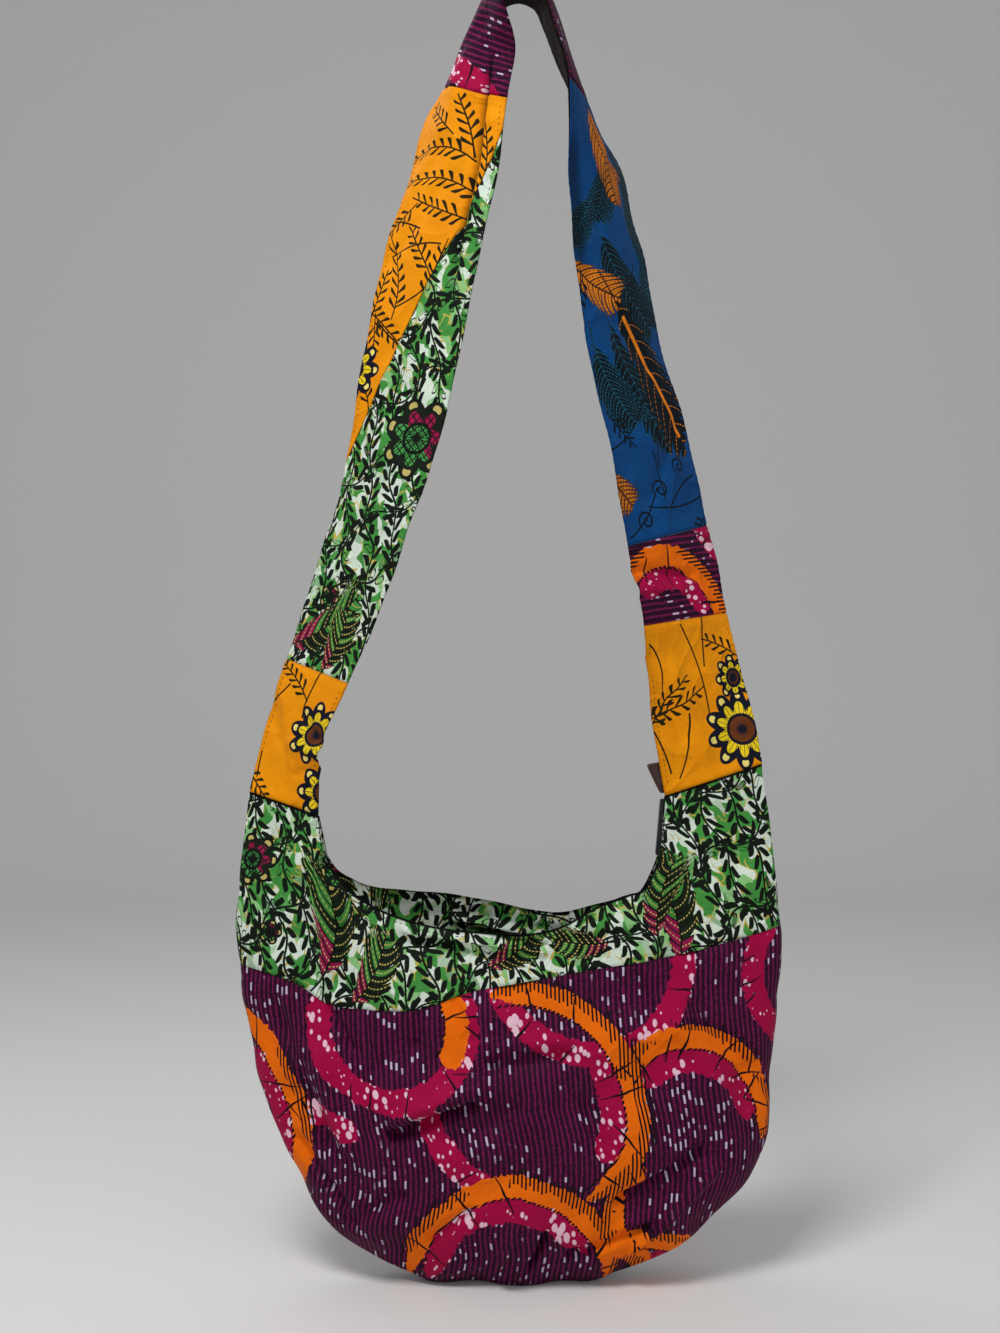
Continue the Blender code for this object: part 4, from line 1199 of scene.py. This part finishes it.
def sprigCloth(name, sprigs, blooms, lines):
    # the orange print: leafy twigs, thin branches and yellow flowers with dark edges
    material, place = startCloth(name)
    colour = mixed(noise(place, 30.0, 2.0), dyes["warm"], dyes["saffron"])
    away = reduce(least, twigs(place, sprigs, lines))
    crackle = inside(cells(place, 70.0, feature="DISTANCE_TO_EDGE") - 0.012, 0.02) * 0.18
    colour = paint(colour, (crackle, "crackle"), (inside(away), "bark"))
    for row in blooms:
        dark, petal, band, heart, spots = motif(bloomPrint, place, *row)
        colour = paint(colour, (petal, "yellow"), (band, "navy"), (heart, "rust"))
        colour = paint(colour, (dark, "navy"), (spots, "cream"))
    return finishCloth(material, place, colour)


leafDyes = {  # the fill, the edge and the veins of each kind of leaf
    "teal": ("tealBlack", "tealEdge", "teal"),
    "amber": ("amber", "tealBlack", "tealBlack"),
    "barbed": ("tealBlack", "tealBlack", "amber"),
}


def blueCloth(name, leaves, sprigs, lines, curls):
    # the blue print: large dark leaves edged in teal or orange, twigs and curled tendrils
    material, place = startCloth(name)
    colour = mixed(noise(place, 26.0, 2.0), dyes["blueDeep"], dyes["blue"])
    for x, y, turn, length, width, bend, kind in leaves:
        dark, area, dots, pick = motif(frondPrint, place, x, y, turn, length, width, bend)
        fill, edge, vein = leafDyes[kind]
        colour = paint(colour, (area, fill), (dark * 0.9, edge), (dots, vein))
        if kind == "barbed":
            u, v = turned(place, x, y, math.radians(turn))
            rib = lineAway(u, v, bend, 0.0016, length * 0.08, length * 0.92)
            colour = paint(colour, (inside(rib), "amber"))
    away = twigs(place, sprigs, lines)
    for x, y, radius in curls:
        u, v = turned(place, x, y, 0.0)
        far, pitch = span(u, v), radius * 0.62
        wound = part(far / pitch - reckon("ARCTAN2", v, u) / (2 * math.pi)) - 0.5
        away.append(most(size(wound) * pitch - 0.0008, far - radius))
    return finishCloth(material, place, paint(colour, (inside(reduce(least, away)), "tealBlack")))


def darker(colour, share):
    return tuple(c * share for c in colour[:3]) + (1.0,)


def plainCloth(name, colour):
    material, place = startCloth(name)
    return finishCloth(material, place, mixed(noise(place, 500.0, 2.0), colour, darker(colour, 0.7)))


# Where the print's large motifs lie, in metres of each flat cloth. Turns and sweeps are in degrees.
sackRings = [
    (-0.081, -0.7635, 0.063, 0, 0, -88, 140), (-0.081, -0.7635, 0.04, -3, 34, 0, 0),
    (0.062, -0.715, 0.078, 0, 0, -95, 128), (0.009, -0.8194, 0.0723, 22, 82, -4, 36),
    (0.009, -0.8194, 0.079, 0, 0, 207, 40), (0.13, -0.8286, 0.049, 65, 88, 70, 80),
    (-0.003, -0.952, 0.066, 88, 90, 100, 80), (-0.246, -0.836, 0.08, 10, 60, 5, 40),
    (-0.15, -0.876, 0.056, 0, 0, 100, 60), (0.118, -0.9, 0.04, 190, 62, 0, 0),
    (0.1, -0.985, 0.055, 75, 40, 60, 30), (0.235, -0.73, 0.062, 0, 0, 185, 60),
]
striped = stripedCloth("stripedRingCotton", 0.0038, 0.0, sackRings)
stripedTop = stripedCloth(
    "stripedTopCotton", 0.0046, math.radians(78),
    [(-0.035, 0.484, 0.0960, 0, 0, 85, 60), (-0.060, 0.730, 0.060, 0, 0, 10, 60)],
)
stripedSmall = stripedCloth(
    "stripedPatchCotton", 0.0046, math.radians(90),
    [(0.017, 1.1580, 0.0465, -122, 82, -108, 62), (-0.072, 1.075, 0.0485, 0, 0, 40, 55)],
)
leafy = leafCloth(
    "leafCotton",
    [
        (-0.13, -0.728, 60, 0.066, 0.34, 9), (-0.108, -0.748, 40, 0.05, 0.34, 9),
        (0.128, -0.716, 82, 0.078, 0.28, 6), (0.112, -0.7, 95, 0.052, 0.3, -8),
        (-0.01, -0.722, 20, 0.044, 0.3, 7), (0.075, -0.705, 190, 0.04, 0.32, -7),
    ],
    [(-0.188, -0.648, 0, 0.0190, 7), (-0.118, -0.655, 0, 0.0150, 6), (-0.172, -0.700, 0, 0.0085, 5)],
)
leafyPatch = leafCloth(
    "leafPatchCotton",
    [
        (-0.034, 0.118, 25, 0.066, 0.3, 6), (0.006, 0.108, 70, 0.045, 0.34, 6),
        (0.02, 0.47, 100, 0.05, 0.34, 4),
    ],
    [(0.024, 0.2880, 10, 0.0300, 7), (-0.014, 0.160, 0, 0.0095, 5)],
)
leftOrange = sprigCloth(
    "leftOrangeCotton",
    [(-0.001, 0.086, 144, 0.034, 5.0, 0.0095), (-0.033, 0.024, 324, 0.026, -5.0, 0.0090)],
    [(0.022, 0.062, 20, 0.0250, 9), (0.034, 0.016, 0, 0.0220, 8)],
    [(0.005, 0.106, 260, 0.036, 2.5), (-0.0194, 0.090, 241, 0.029, -5.0), (-0.0265, 0.040, 268, 0.018, 4.0)],
)
sprigs = [
    (0.0156, 0.499, 150, 0.052, 9, 0.0105), (0.0006, 0.5182, 135, 0.036, 4, 0.01),
    (0.019, 0.504, 100, 0.036, 3, 0.0105), (0.027, 0.4727, 150, 0.064, 7, 0.0105),
    (0.022, 0.4555, 172, 0.048, -2, 0.0105), (-0.026, 0.46, 222, 0.024, 5, 0.0095),
    (-0.02, 0.381, 82, 0.05, 10, 0.011), (0.005, 0.3946, 75, 0.04, 1, 0.0105),
    (0.004, 0.4137, 125, 0.038, 3, 0.0105), (-0.043, 0.375, 75, 0.034, 2, 0.01),
    (-0.04, 0.3777, -30, 0.042, -3, 0.0105), (-0.038, 0.374, -82, 0.024, 2, 0.0095),
    (0.035, 0.465, 85, 0.05, 3, 0.0095), (-0.03, 0.31, 110, 0.024, 7, 0.009),
]
branches = [
    (0.01, 0.434, 180, 0.046, 5), (-0.008, 0.354, 150, 0.034, -3), (-0.012, 0.444, 160, 0.03, 6),
    (-0.02, 0.384, 20, 0.03, 8),
]
leftSprig = sprigCloth("sprigCotton", sprigs, [(-0.050, 0.336, 0, 0.0240, 9)], branches)
rightOrange = sprigCloth(
    "rightOrangeCotton",
    [
        (0.045, 1.228, 235, 0.044, -4, 0.01), (0.046, 1.221, 187, 0.048, 4, 0.0105),
        (-0.042, 1.185, 322, 0.03, 6, 0.0105),
    ],
    [(-0.030, 1.2400, 10, 0.0300, 10), (-0.034, 1.2010, 0, 0.0170, 8)],
    [
        (0.0094, 1.156, 118, 0.072, -4.1), (-0.014, 1.153, 79, 0.037, 1), (0.041, 1.167, 142, 0.03, -24),
        (0.042, 1.23, 115, 0.034, -4), (0.0128, 1.221, 92, 0.046, -7),
    ],
)
blue = blueCloth(
    "blueLeafCotton",
    [
        (-0.04, 0.87, 95, 0.05, 0.3, -3, "teal"), (-0.03, 0.79, 100, 0.06, 0.32, 3, "teal"),
        (-0.004, 0.8, 80, 0.062, 0.3, -4, "teal"), (-0.028, 0.835, 112, 0.06, 0.34, 3, "teal"),
        (0.024, 0.842, 60, 0.044, 0.36, -5, "teal"), (-0.044, 0.898, 70, 0.034, 0.36, 3, "teal"),
        (0.016, 0.87, 114, 0.08, 0.4, 3, "teal"), (0.052, 0.89, 140, 0.052, 0.36, 5, "amber"),
        (0.02, 0.935, 100, 0.098, 0.18, 2.5, "teal"), (0.008, 0.918, 121, 0.118, 0.19, -1.2, "barbed"),
        (0.04, 0.95, 100, 0.06, 0.34, 4, "teal"), (0.054, 1.04, 125, 0.032, 0.42, 0, "amber"),
        (0.01, 0.774, 100, 0.052, 0.4, 4, "amber"), (-0.012, 0.8, 75, 0.04, 0.36, 6, "amber"),
    ],
    [
        (-0.02, 0.89, 60, 0.03, 6, 0.01), (0.04, 1, 120, 0.026, 6, 0.0085),
        (-0.036, 0.96, 100, 0.034, 5, 0.009), (0.044, 0.9, 80, 0.04, -4, 0.0095),
        (-0.044, 1.08, 30, 0.026, 5, 0.0085),
    ],
    [
        (0.05, 1.024, 190, 0.06, 9), (0.004, 1.027, 110, 0.036, -7), (-0.04, 1.048, 12, 0.04, 9),
        (0.044, 1.089, 205, 0.05, 6), (-0.044, 1.064, 20, 0.06, -5), (-0.01, 1.01, 60, 0.03, 8),
    ],
    [(0.002, 1.0560, 0.0085), (0.024, 1.0780, 0.0085), (-0.024, 1.0400, 0.0070), (0.030, 1.0060, 0.0060)],
)
underside = plainCloth("brownLining", dyes["brown"])


def threadFinish(name, colour):
    # twisted sewing thread
    material, place = startCloth(name)
    u, v = split(place)
    twist = sine((u * 1.5 + v) * (2 * math.pi / 0.0007)) * 0.5 + 0.5
    shade = mixed(twist, darker(colour, 0.55), colour)
    return finishCloth(material, place, shade, creaseHeight=0.0, weaveHeight=0.00002)


def coilFinish(name):
    # the zip's nylon coil
    material, place = startCloth(name)
    cloudy = noise(place, 300.0, 2.0)
    return dress(material, mixed(cloudy, ink("2a2a2d"), ink("45454a")), 0.30 + cloudy * 0.2)


def tapeFinish(name):
    # the zip's tape: a narrow herringbone
    material, place = startCloth(name)
    u, v = split(place)
    bone = sine((size(u - 0.0015) + v) * (2 * math.pi / 0.0007)) * 0.5 + 0.5
    return finishCloth(material, place, mixed(bone, ink("1c1c1f"), ink("3a3a3f")), creaseHeight=0.0004)


def leatherFinish(name):
    # grained brown leather, rubbed paler at its edges
    material, place = startCloth(name)
    cloudy = noise(place, 160.0, 3.0)
    colour = mixed(cloudy, ink("2a1512"), ink("4a2a24"))
    colour = mixed(nearEdge(material) * 0.45, colour, ink("6b4537"))
    return dress(material, colour, 0.42 + cloudy * 0.25, cells(place, 1900.0) * 0.00005 + cloudy * 0.0008)


darkThread = threadFinish("darkThread", ink("3a2a1c"))
print("cloth materials made")

shellPiece("sack", "body", bodyRows, True, striped, {
    "fold": 1.4, "wave": 0.0012, "swell": 0.0050, "size": 0.055, "pucker": 0.0008, "seamSink": 0.0008,
    "backTurn": -1.66, "mouthShadeStrength": 0.0,
})
shellPiece("leafYoke", "yoke", yokeRows, False, leafy, {
    "fold": 1.3, "wave": 0.0008, "swell": 0.0030, "size": 0.042, "pucker": 0.0006, "seamSink": 0.0006,
    "backTurn": -1.38, "mouthShadeStrength": 1.6,
})
strapFinish = [leftOrange, leafyPatch, leftSprig, stripedTop, blue, stripedSmall, rightOrange]
for index, finish in enumerate(strapFinish):
    patch = strapPatch(index, [finish, underside])
    strapStitches(patch.name, index, darkThread)
mouthStitches(0.0040, threadFinish("greenThread", ink("1c2a1a")))
liningPiece([underside, underside])
zipTape(tapeFinish("zipTapeWeave"), coilFinish("zipCoilNylon"))
zipTab(leatherFinish("brownLeather"), darkThread)
print("sack, yoke, strap, stitches and zip end made")

# The camera looks straight at the bag from the front, from as far off as the photograph's
view = {
    "pixel": 0.000734, "away": 1.25, "middleX": 500, "middleY": 666.5, "heldX": 520, "heldY": -25,
    "rows": 1333, "sensor": 24.0,
}
camera = bpy.data.cameras.new("camera")
cameraObject = placed("camera", camera)
camera.sensor_fit = "VERTICAL"
camera.sensor_height = view["sensor"]
camera.lens = view["sensor"] * view["away"] / (view["rows"] * view["pixel"])
cameraObject.location = (
    (view["middleX"] - view["heldX"]) * view["pixel"],
    -view["away"],
    -(view["middleY"] - view["heldY"]) * view["pixel"],
)
cameraObject.rotation_euler = (math.pi / 2, 0, 0)
bpy.context.scene.camera = cameraObject

# A pale floor that sweeps up behind into a pale wall
stage = {
    "floor": cadBox[0][2] - 0.0005, "front": -2.6, "back": 2.7, "high": 2.4, "half": 3.4, "bend": 0.7,
    "colour": (0.80, 0.79, 0.77, 1), "roughness": 0.9,
}


def sweepMesh():
    bend = np.linspace(0, math.pi / 2, 10)
    y = [stage["front"], *(stage["back"] - stage["bend"] * (1 - np.sin(bend))), stage["back"]]
    z = stage["floor"] + np.array([0, *(stage["bend"] * (1 - np.cos(bend))), stage["high"]])
    verts = [(x, yy, zz) for yy, zz in zip(y, z) for x in (-stage["half"], stage["half"])]
    faces = [(2 * i, 2 * i + 1, 2 * i + 3, 2 * i + 2) for i in range(len(y) - 1)]
    mesh = bpy.data.meshes.new("sweep")
    mesh.from_pydata(verts, [], faces)
    mesh.shade_smooth()
    material = bpy.data.materials.new("paleStage")
    material.use_nodes = True
    mesh.materials.append(dress(material, stage["colour"], stage["roughness"]))
    placed("sweep", mesh)


sweepMesh()
lampTarget = (0.0, 0.0, -0.55)
lamps = [
    {"name": "key", "at": (-0.45, -1.0, 1.0), "power": 23.0, "size": 0.6},
    {"name": "fill", "at": (1.2, -1.5, -0.2), "power": 4.0, "size": 1.4},
    {"name": "rear", "at": (-0.5, 0.45, 0.4), "power": 2.0, "size": 0.6},
]
for lamp in lamps:
    light = bpy.data.lights.new(lamp["name"], "AREA")
    light.energy = lamp["power"]
    light.size = lamp["size"]
    thing = placed(lamp["name"], light)
    thing.location = lamp["at"]
    x, y, z = np.subtract(lampTarget, lamp["at"])
    thing.rotation_euler = (math.atan2(math.hypot(x, y), -z), 0, math.atan2(y, x) - math.pi / 2)
air = {"colour": (0.93, 0.96, 1.0, 1), "strength": 0.33}
world = bpy.data.worlds.new("soft")
world.use_nodes = True
world.node_tree.nodes["Background"].inputs["Color"].default_value = air["colour"]
world.node_tree.nodes["Background"].inputs["Strength"].default_value = air["strength"]
bpy.context.scene.world = world
bpy.context.scene.view_settings.view_transform = "Standard"
print("camera, stage and lights made")
